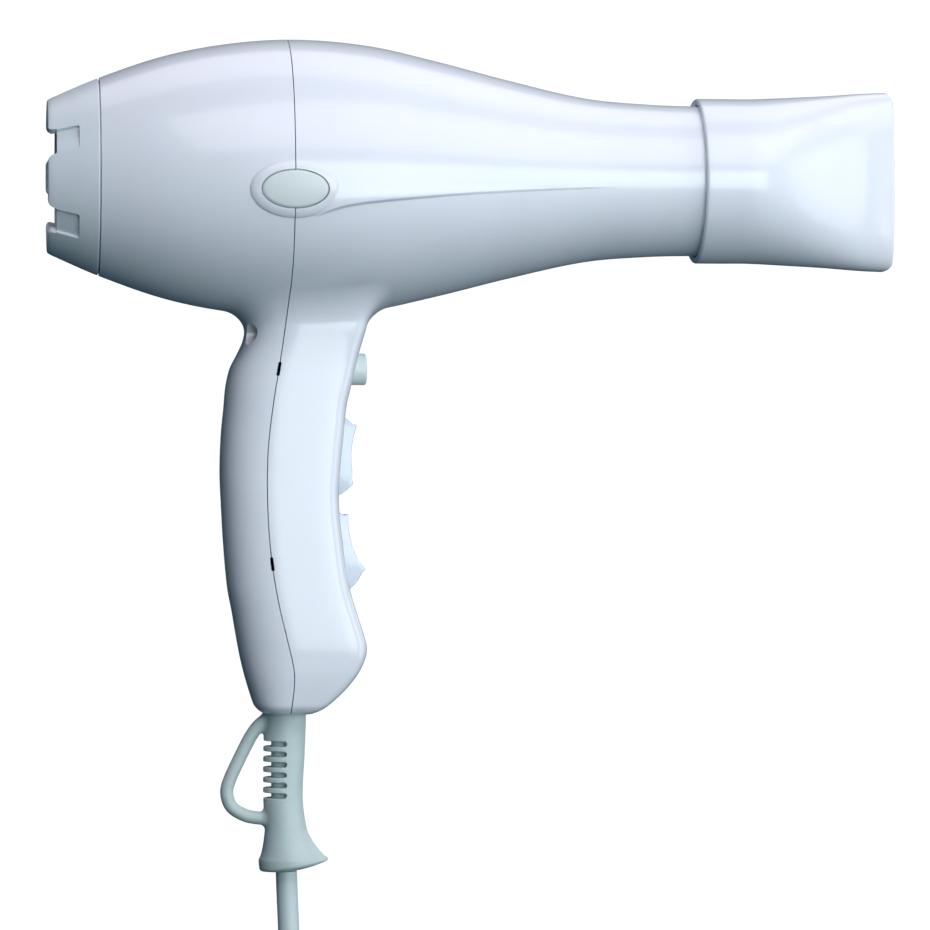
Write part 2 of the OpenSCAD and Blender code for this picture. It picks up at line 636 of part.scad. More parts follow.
module cord_clamp() color(boot_grey) difference() {
    translate([-5, -9.4, -69]) cube([2.5, 18.8, 6]);
    for (y = [-6.8, 6.8]) along_x(-6, y, -66) cylinder(r = 1.25, h = 5, $fn = 24);
}
module clamp_screws() color(steel) for (y = [-6.8, 6.8]) small_screw(-5, y, -66, 1.05, 9, 2.1, 1.5);

module cord() color(boot_grey) sweep(ROUTE, cord_d / 2, 12);
module cord_tail() color(boot_grey) sweep([for (i = [3:-1:0]) TAIL_ROUTE[i]], cord_d / 2, 12);

module cord_hank() color(boot_grey) {
    translate([0, tail_y / 2, 0]) across(tail_y + cord_d) {
        for (s = [-1, 1]) translate([hank_x, hank_z + s * hank_run / 2]) circle(r = hank_half_x, $fn = 64);
        translate([hank_x - hank_half_x, hank_z - hank_run / 2]) square([2 * hank_half_x, hank_run]);
    }
    // Square shoulders where the lead enters at the top and leaves at the bottom
    for (end = [[0, hank_run / 2 - 1], [tail_y, -hank_run / 2 - entry_h]])
        translate([cord_exit[0] - cord_d / 2, end[0] - cord_d / 2, hank_z + end[1]])
            cube([cord_d, cord_d, entry_h + 1]);
}

module cord_tie() color("#4A5258") {
    w = hank_half_x + 0.2;
    y0 = -cord_d / 2 - 0.2;
    y1 = tail_y + cord_d / 2 + 0.2;
    translate([hank_x, (y0 + y1) / 2, hank_z - 6]) difference() {
        translate([-w - 1.4, (y0 - y1) / 2 - 1.4, 0]) cube([2 * w + 2.8, y1 - y0 + 2.8, 12]);
        translate([-w, (y0 - y1) / 2, -1]) cube([2 * w, y1 - y0, 14]);
    }
}

module plug_body() color(boot_grey) difference() {
    translate([cord_exit[0], tail_y, plug_top]) {
        hull() {
            translate([0, 0, -plug_body_len]) linear_extrude(height = 20) hull() for (s = [-1, 1])
                translate([s * 8.5, 0]) circle(r = 9, $fn = 32);
            translate([0, 0, -20]) cylinder(r = 7, h = 4, $fn = 32);
        }
        translate([0, 0, -18]) cylinder(r1 = 6.4, r2 = 4.8, h = 18, $fn = 32);
    }
    for (s = [-1, 1]) translate([cord_exit[0] + s * pin_pitch / 2, tail_y, plug_top - plug_body_len - 1])
        cylinder(r = pin_neck_r + 0.05, h = 10, $fn = 32);
}
module plug_pins() color(brass) for (s = [-1, 1])
    translate([cord_exit[0] + s * pin_pitch / 2, tail_y, plug_top - plug_body_len - pin_len]) {
        cylinder(r = plug_pin_r, h = pin_len - 0.4, $fn = 32);
        cylinder(r = pin_neck_r, h = pin_len + 8.5, $fn = 32);
    }

front_housing();
rear_housing();
rear_cover();
filter_screen();
fan_impeller();
motor_shaft();
motor_can();
motor_ring_rear();
motor_ring_front();
motor_duct();
rectifier();
mica_tube();
heater_frame();
heater_coil();
heater_leads();
thermostat();
thermal_fuse();
outlet_grille();
nozzle();
badge_left();
badge_right();
cool_shot_button();
cool_shot_spring();
cool_shot_switch();
heat_rocker();
heat_switch();
speed_rocker();
speed_switch();
switch_board();
board_screws();
suppressor();
wire_harness();
handle_screws();
strain_relief();
lead_end();
cord_clamp();
clamp_screws();
cord();
cord_hank();
cord_tail();
cord_tie();
plug_body();
plug_pins();
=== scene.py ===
"""Builds the looks of a hand-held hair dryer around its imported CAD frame.

The barrel and the grip are one smooth field, meshed as a net of quads, hollowed out and cut
along the parting surface. Cover, nozzle, caps, controls, strain relief and lead are meshed from
their own sections. All sizes are in millimetres until a mesh is written, in the row's frame:
the origin is the middle of the grip, +X points out of the nozzle and +Z points up.
"""

import logging
import math
from collections.abc import Callable, Sequence
from dataclasses import dataclass
from enum import Enum

import bmesh
import bpy
import numpy as np
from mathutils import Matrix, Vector


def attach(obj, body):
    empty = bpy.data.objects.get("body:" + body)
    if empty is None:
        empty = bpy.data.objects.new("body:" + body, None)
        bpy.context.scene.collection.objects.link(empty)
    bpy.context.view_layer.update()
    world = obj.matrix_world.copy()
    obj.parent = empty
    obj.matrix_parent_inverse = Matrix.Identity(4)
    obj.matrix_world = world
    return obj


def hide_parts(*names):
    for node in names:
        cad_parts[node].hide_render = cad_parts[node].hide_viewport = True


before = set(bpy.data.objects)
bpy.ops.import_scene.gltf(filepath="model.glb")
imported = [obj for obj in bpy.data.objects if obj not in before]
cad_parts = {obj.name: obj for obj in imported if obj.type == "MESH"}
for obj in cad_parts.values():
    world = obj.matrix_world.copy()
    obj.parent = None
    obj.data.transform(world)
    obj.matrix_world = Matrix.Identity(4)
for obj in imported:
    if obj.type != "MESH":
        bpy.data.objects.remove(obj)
log = logging.getLogger("hair_dryer")

MM = 0.001

Array = np.ndarray
Piece = bpy.types.Object
Field = Callable[[Array, Array, Array], Array]
Rows = Sequence[Sequence[float]]

# ---- shape of the object, as in the CAD part -------------------------------------------------
AXIS_Z = 96.5
WALL = 2.2
COVER_X = -60.0
COVER_LEN = 17.0
MUZZLE_X = 155.0
SEAM_GAP = 0.3

# Station along the barrel, outer radius
BARREL = (
    (-78, 24.6), (-60, 32.4), (-38, 39.9), (-16, 44.1), (5, 45.4), (28, 43.6), (50, 38.9),
    (75, 32.6), (100, 27.1), (120, 25.3), (137, 24.8), (156, 24.8),
)
# Height, rear edge, front edge and half width of the grip; the fillet under the barrel is the union's
GRIP = (
    (-84, -6, 4.8, 12.8), (-79.2, -8.2, 11, 14.4), (-76.3, -9.4, 14.6, 15.1), (-71.5, -11, 19.8, 16),
    (-66, -12.6, 24.2, 16.8), (-61, -13.8, 26.6, 17.2), (-57.5, -14.5, 27.1, 17.4),
    (-53.8, -15.2, 26.3, 17.5), (-46, -16.5, 23.8, 17.6), (-38, -18, 21.5, 17.6), (-24, -19.3, 19.3, 17.6),
    (-10, -20.1, 17.9, 17.6), (0, -20.5, 18.3, 17.6), (12, -20.1, 19.5, 17.7), (21.5, -19.2, 20.4, 17.8),
    (28, -18.6, 21.9, 17.9), (34, -17.2, 23.3, 18), (38, -15.2, 24.2, 18.2), (42.5, -13.1, 25.5, 18.5),
    (47, -12.2, 26.8, 18.9), (54, -12.2, 28, 19.3), (70, -12.2, 28, 19.3),
)
REAR_SQUARENESS, FRONT_SQUARENESS = 2.7, 7.5
GRIP_FOOT = -79.2
FOOT_ROUNDING = 3.4
NECK_FILLET = 7.0
# Height and place along X of the parting surface
SEAM = (
    (-90, 1.6), (-79, 2), (-66, 2.9), (-54, 0.4), (-43, -2.2), (-32, -4.1), (-20, -5.4), (-5, -6), (10, -5.5),
    (25, -3.6), (36, -1.8), (48, -0.1), (58, 0.9), (68, 1.2), (76, 1.2), (150, 1.2),
)
SEAM_X = 1.2

# Oval cap on each flank and the teardrop around it
CAP_Z = 90.3
CAP_A, CAP_B = 10.8, 6.2
RIM_A, RIM_B = 14.4, 9.2
RIM_HEIGHT = 0.95
CAP_SEAT = 1.3
# Along the tail: lower edge and upper edge
TAIL = ((8, 81.6, 97.5), (16, 84.4, 96.4), (24, 85.9, 95.4), (39, 87.6, 94.2), (56, 89.3, 93.3),
        (74, 90.7, 93.2), (92, 91.9, 93.3), (106, 92.7, 93.4))

# Screws through the grip: Y, Z, seat of the head along X, seam along X
SCREWS = ((-10, 45, -6.5, 0.4), (10, 45, -6.5, 0.4), (0, -52, -11, 0.7))
BUTTON_D, BUTTON_Z, BUTTON_FRONT = 10.4, 33.8, 27.7
HEAT_PIVOT, SPEED_PIVOT = (11.6, 5.8), (12.3, -27.0)
ROCKER_W, ROCKER_R, ROCKER_TIP_R = 10.0, 15.0, 15.9
SLOT_HEIGHTS = (33.5, -29.9)


# ---- curves and meshes -----------------------------------------------------------------------
def curve(rows: Rows, at: Array, column: int = 1) -> Array:
    """Reads a smooth curve through key rows, held level past its ends.

    Args:
        rows: Key rows, each starting with its station.
        at: Stations to read the curve at.
        column: Which value of the rows to read.

    Returns:
        The value at each station.
    """
    keys = np.asarray(rows, float)
    t, v = keys[:, 0], keys[:, column]
    slope = np.gradient(v) / np.gradient(t)
    at = np.clip(at, t[0], t[-1])
    i = np.clip(np.searchsorted(t, at, side="right") - 1, 0, len(t) - 2)
    h = t[i + 1] - t[i]
    u = (at - t[i]) / h
    return (
        v[i] * (2 * u**3 - 3 * u**2 + 1) + slope[i] * h * (u**3 - 2 * u**2 + u)
        + v[i + 1] * (3 * u**2 - 2 * u**3) + slope[i + 1] * h * (u**3 - u**2)
    )


def ramp(value: Array, low: float, high: float) -> Array:
    """Rises smoothly from 0 at low to 1 at high."""
    t = np.clip((value - low) / (high - low), 0, 1)
    return t * t * (3 - 2 * t)


def round_union(a: Array, b: Array, radius: float) -> Array:
    """Joins two distance fields with a fillet of a given radius."""
    corner = np.hypot(np.maximum(radius - a, 0), np.maximum(radius - b, 0))
    return np.maximum(radius, np.minimum(a, b)) - corner


def round_common(a: Array, b: Array, radius: float) -> Array:
    """Keeps what two distance fields share, with a rounded edge."""
    return -round_union(-a, -b, radius)


def around(steps: int) -> Array:
    """Lists equal steps round a full turn, in radians."""
    return np.linspace(0, 2 * math.pi, steps, endpoint=False)


def linked(name: str, data: bpy.types.ID) -> Piece:
    """Makes an object and links it to the scene.

    Args:
        name: Its name.
        data: Its mesh, curve, light or camera.

    Returns:
        The new object.
    """
    made = bpy.data.objects.new(name, data)
    bpy.context.scene.collection.objects.link(made)
    return made


def write_mesh(name: str, points: Array, faces: Sequence[Sequence[int]]) -> Piece:
    """Makes a mesh object whose faces look outwards, and links it to the scene.

    Args:
        name: The object's name.
        points: Corners in millimetres.
        faces: Corner numbers of each face.

    Returns:
        The new object.
    """
    mesh = bpy.data.meshes.new(name)
    mesh.from_pydata((np.asarray(points, float) * MM).tolist(), [], [list(map(int, f)) for f in faces])
    mesh.update()
    mesh.calc_loop_triangles()
    corners = np.empty(len(mesh.loop_triangles) * 3, np.int32)
    mesh.loop_triangles.foreach_get("vertices", corners)
    a, b, c = np.asarray(points, float)[corners].reshape(-1, 3, 3).transpose(1, 0, 2)
    if (a * np.cross(b, c)).sum() < 0:
        mesh.flip_normals()
    return linked(name, mesh)


def slope_of(shape: Field, points: Array, reach: float = 0.04) -> Array:
    """Measures which way a field rises.

    Args:
        shape: The field.
        points: Points in millimetres, one per row.
        reach: Half the distance it is measured over.

    Returns:
        The gradient at each point.
    """
    rows = []
    for axis in range(3):
        step = np.zeros(3)
        step[axis] = reach
        rows.append((shape(*(points + step).T) - shape(*(points - step).T)) / (2 * reach))
    return np.stack(rows, 1)


def settle(shape: Field, points: Array, rounds: int = 4) -> Array:
    """Moves points onto the surface where a field is zero.

    Args:
        shape: The field.
        points: Points near the surface.
        rounds: How many corrections to make.

    Returns:
        The moved points.
    """
    for _ in range(rounds):
        rise = slope_of(shape, points)
        move = shape(*points.T) / np.maximum((rise * rise).sum(1), 0.2)
        points = points - np.clip(move, -1, 1)[:, None] * rise
    return points


def net(name: str, shape: Field, low: Sequence[float], high: Sequence[float], step: float) -> Piece:
    """Meshes the surface where a field is zero as a net of even quads.

    Args:
        name: The object's name.
        shape: The field, negative inside.
        low: Lowest corner of the space that is searched.
        high: Highest corner of that space.
        step: Size of the quads.

    Returns:
        The closed mesh object.
    """
    start = np.array(low, float)
    count = np.ceil((np.array(high, float) - start) / step).astype(int) + 1
    axes = [start[i] + step * np.arange(count[i]) for i in range(3)]
    value = np.broadcast_to(shape(*np.meshgrid(*axes, indexing="ij", sparse=True)), count)
    cells = count - 1
    total, hits, quads = np.zeros((cells.prod(), 3)), np.zeros(cells.prod()), []
    for axis, (u, w) in enumerate(((1, 2), (2, 0), (0, 1))):
        near, far = [slice(None)] * 3, [slice(None)] * 3
        near[axis], far[axis] = slice(0, -1), slice(1, None)
        v0, v1 = value[tuple(near)], value[tuple(far)]
        at = np.argwhere((v0 < 0) != (v1 < 0))
        at = at[(at[:, u] > 0) & (at[:, w] > 0) & (at[:, u] < cells[u]) & (at[:, w] < cells[w])]
        f0, f1 = v0[tuple(at.T)], v1[tuple(at.T)]
        cut = start + step * at
        cut[:, axis] += step * f0 / (f0 - f1)
        ring = []
        for du, dw in ((0, 0), (-1, 0), (-1, -1), (0, -1)):
            cell = at.copy()
            cell[:, u] += du
            cell[:, w] += dw
            flat = np.ravel_multi_index(tuple(cell.T), tuple(cells))
            np.add.at(total, flat, cut)
            np.add.at(hits, flat, 1)
            ring.append(flat)
        quad = np.stack(ring, 1)
        quad[f0 >= 0] = quad[f0 >= 0][:, ::-1]
        quads.append(quad)
    used = np.flatnonzero(hits)
    number = np.full(len(hits), -1)
    number[used] = np.arange(len(used))
    points = settle(shape, total[used] / hits[used, None])
    return write_mesh(name, points, number[np.concatenate(quads)])


def loft(name: str, rings: Sequence[Array], endless: bool = False) -> Piece:
    """Skins rings that have the same number of points.

    Args:
        name: The object's name.
        rings: Rings in order, each counter-clockwise seen from the side the loft runs to.
        endless: Whether the last ring joins the first, instead of a cap at each end.

    Returns:
        The closed mesh object.
    """
    n, m = len(rings[0]), len(rings)
    faces = []
    for i in range(m if endless else m - 1):
        k = (i + 1) % m
        faces += [(i * n + j, i * n + (j + 1) % n, k * n + (j + 1) % n, k * n + j) for j in range(n)]
    if not endless:
        faces += [tuple(range(n - 1, -1, -1)), tuple(range((m - 1) * n, m * n))]
    return write_mesh(name, np.concatenate(rings), faces)


def turned(name: str, profile: Rows, sides: int = 160, centre: Sequence[float] = (0, 0, AXIS_Z),
           endless: bool = True) -> Piece:
    """Turns a profile about a line along X.

    Args:
        name: The object's name.
        profile: Points as X and radius, in order so that the solid is on their left.
        sides: Number of steps round.
        centre: A point on the line that the profile turns about.
        endless: Whether the profile is a closed ring; else its two ends lie on the axis.

    Returns:
        The closed mesh object.
    """
    t = around(sides)
    rings = [
        np.stack([np.full(sides, centre[0] + x), centre[1] + r * np.cos(t), centre[2] + r * np.sin(t)], 1)
        for x, r in profile
    ]
    return loft(name, rings, endless)


def tube(name: str, start: float, end: float, low: float, high: float) -> Piece:
    """Makes a plain ring about the barrel's axis, between two stations and two radii."""
    return turned(name, ((start, low), (end, low), (end, high), (start, high)))


def rod(name: str, x0: float, x1: float, radius: float, y: float = 0.0, z: float = AXIS_Z,
        sides: int = 64) -> Piece:
    """Makes a plain round bar along X, from x0 to x1, about an axis at y and z."""
    return turned(name, ((x0, radius), (x1, radius)), sides, (0, y, z), endless=False)


def prism(name: str, outline: Rows, y0: float, y1: float) -> Piece:
    """Extrudes an outline across Y.

    Args:
        name: The object's name.
        outline: X and Z of its corners, counter-clockwise as +Y is looked along.
        y0: Where it starts.
        y1: Where it ends.

    Returns:
        The closed mesh object.
    """
    points = np.asarray(outline, float)
    rings = [np.stack([points[:, 0], np.full(len(points), y), points[:, 1]], 1) for y in (y1, y0)]
    return loft(name, rings)


def arc(centre: Sequence[float], radius: float, start: float, end: float, steps: int) -> list[tuple[float, float]]:
    """Lists the ends of equal steps on an arc about centre, between two angles in degrees, both included."""
    angles = np.radians(np.linspace(start, end, steps + 1))
    return [(centre[0] + radius * math.cos(a), centre[1] + radius * math.sin(a)) for a in angles]


def squared(t: Array, power: float) -> tuple[Array, ...]:
    """Gives both coordinates of a round-cornered square of half width 1 at angles t; a power of 2 is a circle."""
    return tuple(np.sign(c) * np.abs(c) ** (2 / power) for c in (np.cos(t), np.sin(t)))


class Cut(Enum):
    """What a second solid does to the first."""

    AWAY = "DIFFERENCE"
    JOIN = "UNION"
    COMMON = "INTERSECT"


def combine(obj: Piece, how: Cut, *others: Piece) -> Piece:
    """Combines solids and removes the ones that were used up.

    Args:
        obj: The solid that is changed.
        how: What the others do to it.
        *others: The other solids.

    Returns:
        The changed solid.
    """
    for other in others:
        modifier = obj.modifiers.new("cut", "BOOLEAN")
        modifier.operation, modifier.object, modifier.solver = how.value, other, "MANIFOLD"
        made = bpy.data.meshes.new_from_object(obj.evaluated_get(bpy.context.evaluated_depsgraph_get()))
        obj.modifiers.clear()
        old = obj.data
        obj.data = made
        made.name = old.name
        bpy.data.meshes.remove(old)
        spare = other.data
        bpy.data.objects.remove(other)
        bpy.data.meshes.remove(spare)
    return obj


def shade(obj: Piece, shape: Field | None, angle: float) -> None:
    """Shades a solid smooth, with creases, and with a field's own normals where it lies on the field.

    Args:
        obj: The solid.
        shape: The field its outside was meshed from.
        angle: Edges sharper than this stay sharp, in degrees.
    """
    mesh = obj.data
    mesh.polygons.foreach_set("use_smooth", np.ones(len(mesh.polygons), bool))
    mesh.set_sharp_from_angle(angle=math.radians(angle))
    if shape is None:
        return
    points = np.empty(len(mesh.vertices) * 3)
    mesh.vertices.foreach_get("co", points)
    points = points.reshape(-1, 3) / MM
    rise = slope_of(shape, points)
    rise /= np.maximum(np.linalg.norm(rise, axis=1), 1e-9)[:, None]
    on_surface = np.abs(shape(*points.T)) < 0.03
    corner = np.empty(len(mesh.loops), np.int32)
    mesh.loops.foreach_get("vertex_index", corner)
    normals, flat = np.empty(len(mesh.loops) * 3), np.empty(len(mesh.polygons) * 3)
    mesh.corner_normals.foreach_get("vector", normals)
    mesh.polygons.foreach_get("normal", flat)
    sizes = np.empty(len(mesh.polygons), np.int32)
    mesh.polygons.foreach_get("loop_total", sizes)
    facing = np.repeat(flat.reshape(-1, 3), sizes, 0)
    normals = normals.reshape(-1, 3)
    take = on_surface[corner] & ((facing * rise[corner]).sum(1) > 0.8)
    normals[take] = rise[corner][take]
    mesh.normals_split_custom_set(normals.tolist())


def place(obj: Piece, body: str, finish: "Finish", *nodes: str, shape: Field | None = None,
          angle: float = 32) -> None:
    """Shades a piece, gives it its finish, hangs it under its body and hides the CAD nodes that it stands for.

    Args:
        obj: The piece.
        body: CAD body it moves with.
        finish: Its material.
        *nodes: CAD nodes that it takes the place of; they are hidden.
        shape: The field its outside was meshed from.
        angle: Edges sharper than this stay sharp, in degrees.
    """
    if obj.type == "MESH":
        shade(obj, shape, angle)
    obj.data.materials.clear()
    obj.data.materials.append(finish.material())
    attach(obj, body)
    if nodes:
        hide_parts(*nodes)
    log.info("%s: %d faces on %s", obj.name, len(getattr(obj.data, "polygons", ())), body)


# ---- finishes --------------------------------------------------------------------------------
def srgb(code: str) -> tuple[float, float, float, float]:
    """Turns a screen colour into the linear one that shaders take.

    Args:
        code: Six hexadecimal digits after a hash.

    Returns:
        Linear red, green, blue and an alpha of 1.
    """
    parts = [int(code[i:i + 2], 16) / 255 for i in (1, 3, 5)]
    return (*(c / 12.92 if c <= 0.04045 else ((c + 0.055) / 1.055) ** 2.4 for c in parts), 1.0)


def add_node(tree: bpy.types.NodeTree, kind: str, **values: object) -> bpy.types.Node:
    """Adds a shader node and sets its sockets or links them.

    Args:
        tree: The material's node tree.
        kind: Name of the node type, without the ShaderNode in front.
        **values: A constant or an output for each named socket, its blanks as underscores, or a setting.

    Returns:
        The new node.
    """
    node = tree.nodes.new("ShaderNode" + kind)
    for name, value in values.items():
        socket = node.inputs.get(name.replace("_", " "))
        if socket is None:
            setattr(node, name, value)
        elif isinstance(value, bpy.types.NodeSocket):
            tree.links.new(value, socket)
        else:
            socket.default_value = value
    return node


@dataclass(frozen=True)
class Finish:
    """A real material: its colour, its gloss and the fine grain of its surface."""

    name: str
    slot: str
    colour: str
    deep: str
    roughness: float = 0.3
    metallic: float = 0.0
    coat: float = 0.0
    skin: float = 0.0
    grain: float = 0.3
    depth: float = 0.01
    mottle: float = 6.0
    spread: float = 0.06

    def material(self) -> bpy.types.Material:
        """Builds the material once and finds it again after that.

        Returns:
            The material.
        """
        found = bpy.data.materials.get(self.name)
        if found:
            return found
        made = bpy.data.materials.new(self.name)
        made.use_nodes = True
        tree = made.node_tree
        tree.nodes.clear()
        self.build(tree)
        return made

    def build(self, tree: bpy.types.NodeTree) -> None:
        """Wires the shader.

        Args:
            tree: The empty node tree.
        """
        at = add_node(tree, "TexCoord")
        place_mm = add_node(tree, "VectorMath", operation="SCALE", Vector=at.outputs["Object"], Scale=1 / MM)
        cloud = add_node(tree, "TexNoise", Vector=place_mm.outputs[0], Scale=1 / self.mottle, Detail=3.0)
        fine = add_node(tree, "TexNoise", Vector=place_mm.outputs[0], Scale=1 / self.grain, Detail=2.0)
        colour = add_node(tree, "Mix", data_type="RGBA")
        tree.links.new(cloud.outputs["Fac"], colour.inputs[0])
        colour.inputs[6].default_value = srgb(self.deep)
        colour.inputs[7].default_value = srgb(self.colour)
        gloss = add_node(tree, "MapRange", Value=cloud.outputs["Fac"], To_Min=self.roughness - self.spread / 2,
                         To_Max=self.roughness + self.spread / 2)
        bump = add_node(tree, "Bump", Height=fine.outputs["Fac"], Strength=0.5, Distance=self.depth * MM)
        surface = add_node(
            tree, "BsdfPrincipled", Base_Color=colour.outputs[2], Roughness=gloss.outputs[0],
            Metallic=self.metallic, Coat_Weight=self.coat, Coat_Roughness=0.08,
            Subsurface_Weight=self.skin, Subsurface_Scale=2 * MM, Normal=bump.outputs[0])
        add_node(tree, "OutputMaterial", Surface=surface.outputs[0])


# Glossy moulded ABS: a fine spark-eroded grain under a thin bright skin, slightly translucent
WHITE_ABS = Finish("moulded ABS, glossy white", "white_abs", "#EAF0F7", "#E3EAF1", 0.26, coat=0.35, skin=0.04,
                   grain=0.5, depth=0.004, mottle=30, spread=0.05)
COVER_ABS = Finish("moulded ABS, satin white", "white_abs", "#E4EDF2", "#DCE7EC", 0.4, coat=0.1, skin=0.03,
                   grain=0.4, depth=0.008, mottle=20)
# The caps and the button are a greener white, a little duller than the shells
CAP_ABS = Finish("moulded ABS, soft white cap", "cap_abs", "#DFEAE9", "#D7E4E3", 0.42, coat=0.05, skin=0.04,
                 grain=0.35, depth=0.008, mottle=9)
# Rockers in a cool lilac white with a crisp gloss
ROCKER_ABS = Finish("moulded ABS, cool white rocker", "rocker_abs", "#D6E0EA", "#CFDAE5", 0.22, coat=0.3,
                    skin=0.03, grain=0.5, depth=0.004, mottle=9)
# Flexible PVC: low sheen, soft light inside, cloudy where it has been handled
BOOT_PVC = Finish("soft PVC strain relief", "boot_pvc", "#C4D6D4", "#BACDCB", 0.5, skin=0.1, grain=0.35,
                  depth=0.012, mottle=7, spread=0.12)
LEAD_PVC = Finish("PVC lead sheath", "lead_pvc", "#CFE0E0", "#C2D5D5", 0.46, skin=0.08, grain=0.3, depth=0.014,
                  mottle=14, spread=0.14)
# Woven nylon strap: dull, with a coarse thread
TIE_STRAP = Finish("woven nylon strap", "tie_strap", "#4C555C", "#3A4248", 0.8, grain=0.7, depth=0.18, mottle=4)
PIN_NICKEL = Finish("nickel-plated brass", "pin_brass", "#D6D3CC", "#C8C3B8", 0.24, metallic=1.0, grain=0.4,
                    depth=0.006, mottle=5, spread=0.12)
MESH_STEEL = Finish("drawn steel wire", "filter_mesh", "#A9AFB3", "#8F969B", 0.34, metallic=1.0, grain=0.2,
                    depth=0.01, mottle=3, spread=0.14)
FAN_NYLON = Finish("glass-filled nylon", "fan_nylon", "#3F444A", "#30353A", 0.58, grain=0.35, depth=0.03, mottle=5)
ZINC_STEEL = Finish("zinc-plated steel", "steel", "#B9BDC2", "#9FA4AA", 0.32, metallic=1.0, grain=0.25,
                    depth=0.012, mottle=4, spread=0.16)
RUBBER = Finish("black rubber", "rubber", "#26282B", "#1C1E20", 0.75, grain=0.5, depth=0.04, mottle=5)
DUCT_PET = Finish("heat-resistant PET", "duct_pet", "#CFC9B6", "#C2BBA6", 0.45, skin=0.05, grain=0.4, depth=0.01,
                  mottle=12, spread=0.1)
# Pressed mica: golden flakes with a pearly sheen
MICA = Finish("pressed mica", "mica", "#CDBB8C", "#9C8450", 0.36, coat=0.4, grain=1.2, depth=0.05, mottle=3.5,
              spread=0.2)
NICHROME = Finish("nichrome wire, heat-tinted", "heating_wire", "#8D857C", "#5A4E4C", 0.38, metallic=1.0,
                  grain=0.3, depth=0.02, mottle=5, spread=0.2)
FUSE_BRASS = Finish("brass fuse case", "fuse_case", "#CDB168", "#B3934A", 0.3, metallic=1.0, grain=0.3,
                    depth=0.01, mottle=4, spread=0.14)
GRILLE_STEEL = Finish("black-coated steel", "grille_steel", "#4A4D51", "#393C40", 0.48, metallic=0.4, grain=0.4,
                      depth=0.02, mottle=5)
BOARD = Finish("glass-epoxy laminate", "circuit_board", "#2E7042", "#215A33", 0.4, coat=0.2, grain=0.6,
               depth=0.03, mottle=3, spread=0.14)
SWITCH_CASE = Finish("black nylon case", "switch_case", "#2A2C2F", "#202224", 0.55, grain=0.35, depth=0.02,
                     mottle=4)
CAPACITOR = Finish("epoxy-filled case", "capacitor_case", "#C9A13A", "#B48C2B", 0.34, coat=0.2, grain=0.4,
                   depth=0.01, mottle=6)
SILICONE = Finish("silicone wire cover", "wire_cover", "#5B73A8", "#4A6296", 0.5, skin=0.05, grain=0.3,
                  depth=0.01, mottle=5)


# ---- barrel and grip -------------------------------------------------------------------------
def barrel_field(x: Array, y: Array, z: Array) -> Array:
    """Distance to the barrel's outside."""
    lean = curve(BARREL, x + 0.5) - curve(BARREL, x - 0.5)
    return (np.hypot(y, z - AXIS_Z) - curve(BARREL, x)) / np.sqrt(1 + lean * lean)


def barrel_r(x: float) -> float:
    """Reads the barrel's outer radius at a station."""
    return float(curve(BARREL, x))


def grip_field(x: Array, y: Array, z: Array) -> Array:
    """Distance to the grip's outside, its foot rounded.

    Args:
        x: Places along the barrel.
        y: Places across it.
        z: Heights.

    Returns:
        The distance, negative inside.
    """
    rear, front, half = (curve(GRIP, z, c) for c in (1, 2, 3))
    deep = (front - rear) / 2
    u = (x - (front + rear) / 2) / deep
    power = np.where(u > 0, FRONT_SQUARENESS, REAR_SQUARENESS)
    round_about = (np.abs(u) ** power + np.abs(y / half) ** power + 1e-9) ** (1 / power)
    side = (round_about - 1) * np.sqrt(deep * half)
    return np.maximum(round_common(side, GRIP_FOOT - z, FOOT_ROUNDING), z - AXIS_Z)


def body_field(x: Array, y: Array, z: Array) -> Array:
    """Distance to the barrel and grip as one smooth body, without its relief."""
    return round_union(barrel_field(x, y, z), grip_field(x, y, z), NECK_FILLET)


def relief(x: Array, z: Array) -> Array:
    """Height of the teardrop on each flank: a pillow round the cap and a ridge that runs forward.

    Args:
        x: Places along the barrel.
        z: Heights.

    Returns:
        How far the relief stands out.
    """
    across, up = x - SEAM_X, z - CAP_Z
    inner = np.hypot(across / CAP_A, up / CAP_B)
    outer = np.hypot(across / RIM_A, up / RIM_B)
    share = np.clip((1 - outer) / np.maximum(inner - outer, 1e-6), 0, 1)
    pillow = RIM_HEIGHT * np.sqrt(np.clip(1 - (1 - np.minimum(share * 1.25, 1)) ** 2, 0, 1))
    low, high = curve(TAIL, x, 1), curve(TAIL, x, 2)
    level = np.clip((z - low) / np.maximum(high - low, 0.3), -1, 2)
    ridge = ramp(z, -0.35 + low, 0.55 + low) * (1 - ramp(level, 0.1, 1.0)) * ramp(x, 6, 15)
    ridge = ridge * (0.3 + 0.65 * ramp(-x, -70, -10)) * ramp(-x, -107, -98)
    return np.maximum(pillow * (outer < 1), ridge * RIM_HEIGHT)


def shell_field(x: Array, y: Array, z: Array) -> Array:
    """Distance to the outside of the shells, relief included, past both ends of the barrel."""
    flank = ramp(np.abs(y), 8, 16)
    return body_field(x, y, z) - relief(x, z) * flank


def region(front: bool) -> Piece:
    """Makes the solid that keeps one shell, in front of the parting surface or behind it.

    Args:
        front: Whether it keeps the front shell.

    Returns:
        The solid.
    """
    inset = SEAM_GAP / 2 if front else -SEAM_GAP / 2
    heights = np.linspace(-90, 150, 241)
    line = [(float(curve(SEAM, z)) + inset, float(z)) for z in heights]
    outline = [(200, -90), (200, 150), *reversed(line)] if front else [*line, (-100, 150), (-100, -90)]
    return prism("region", outline[::-1], -60, 60)


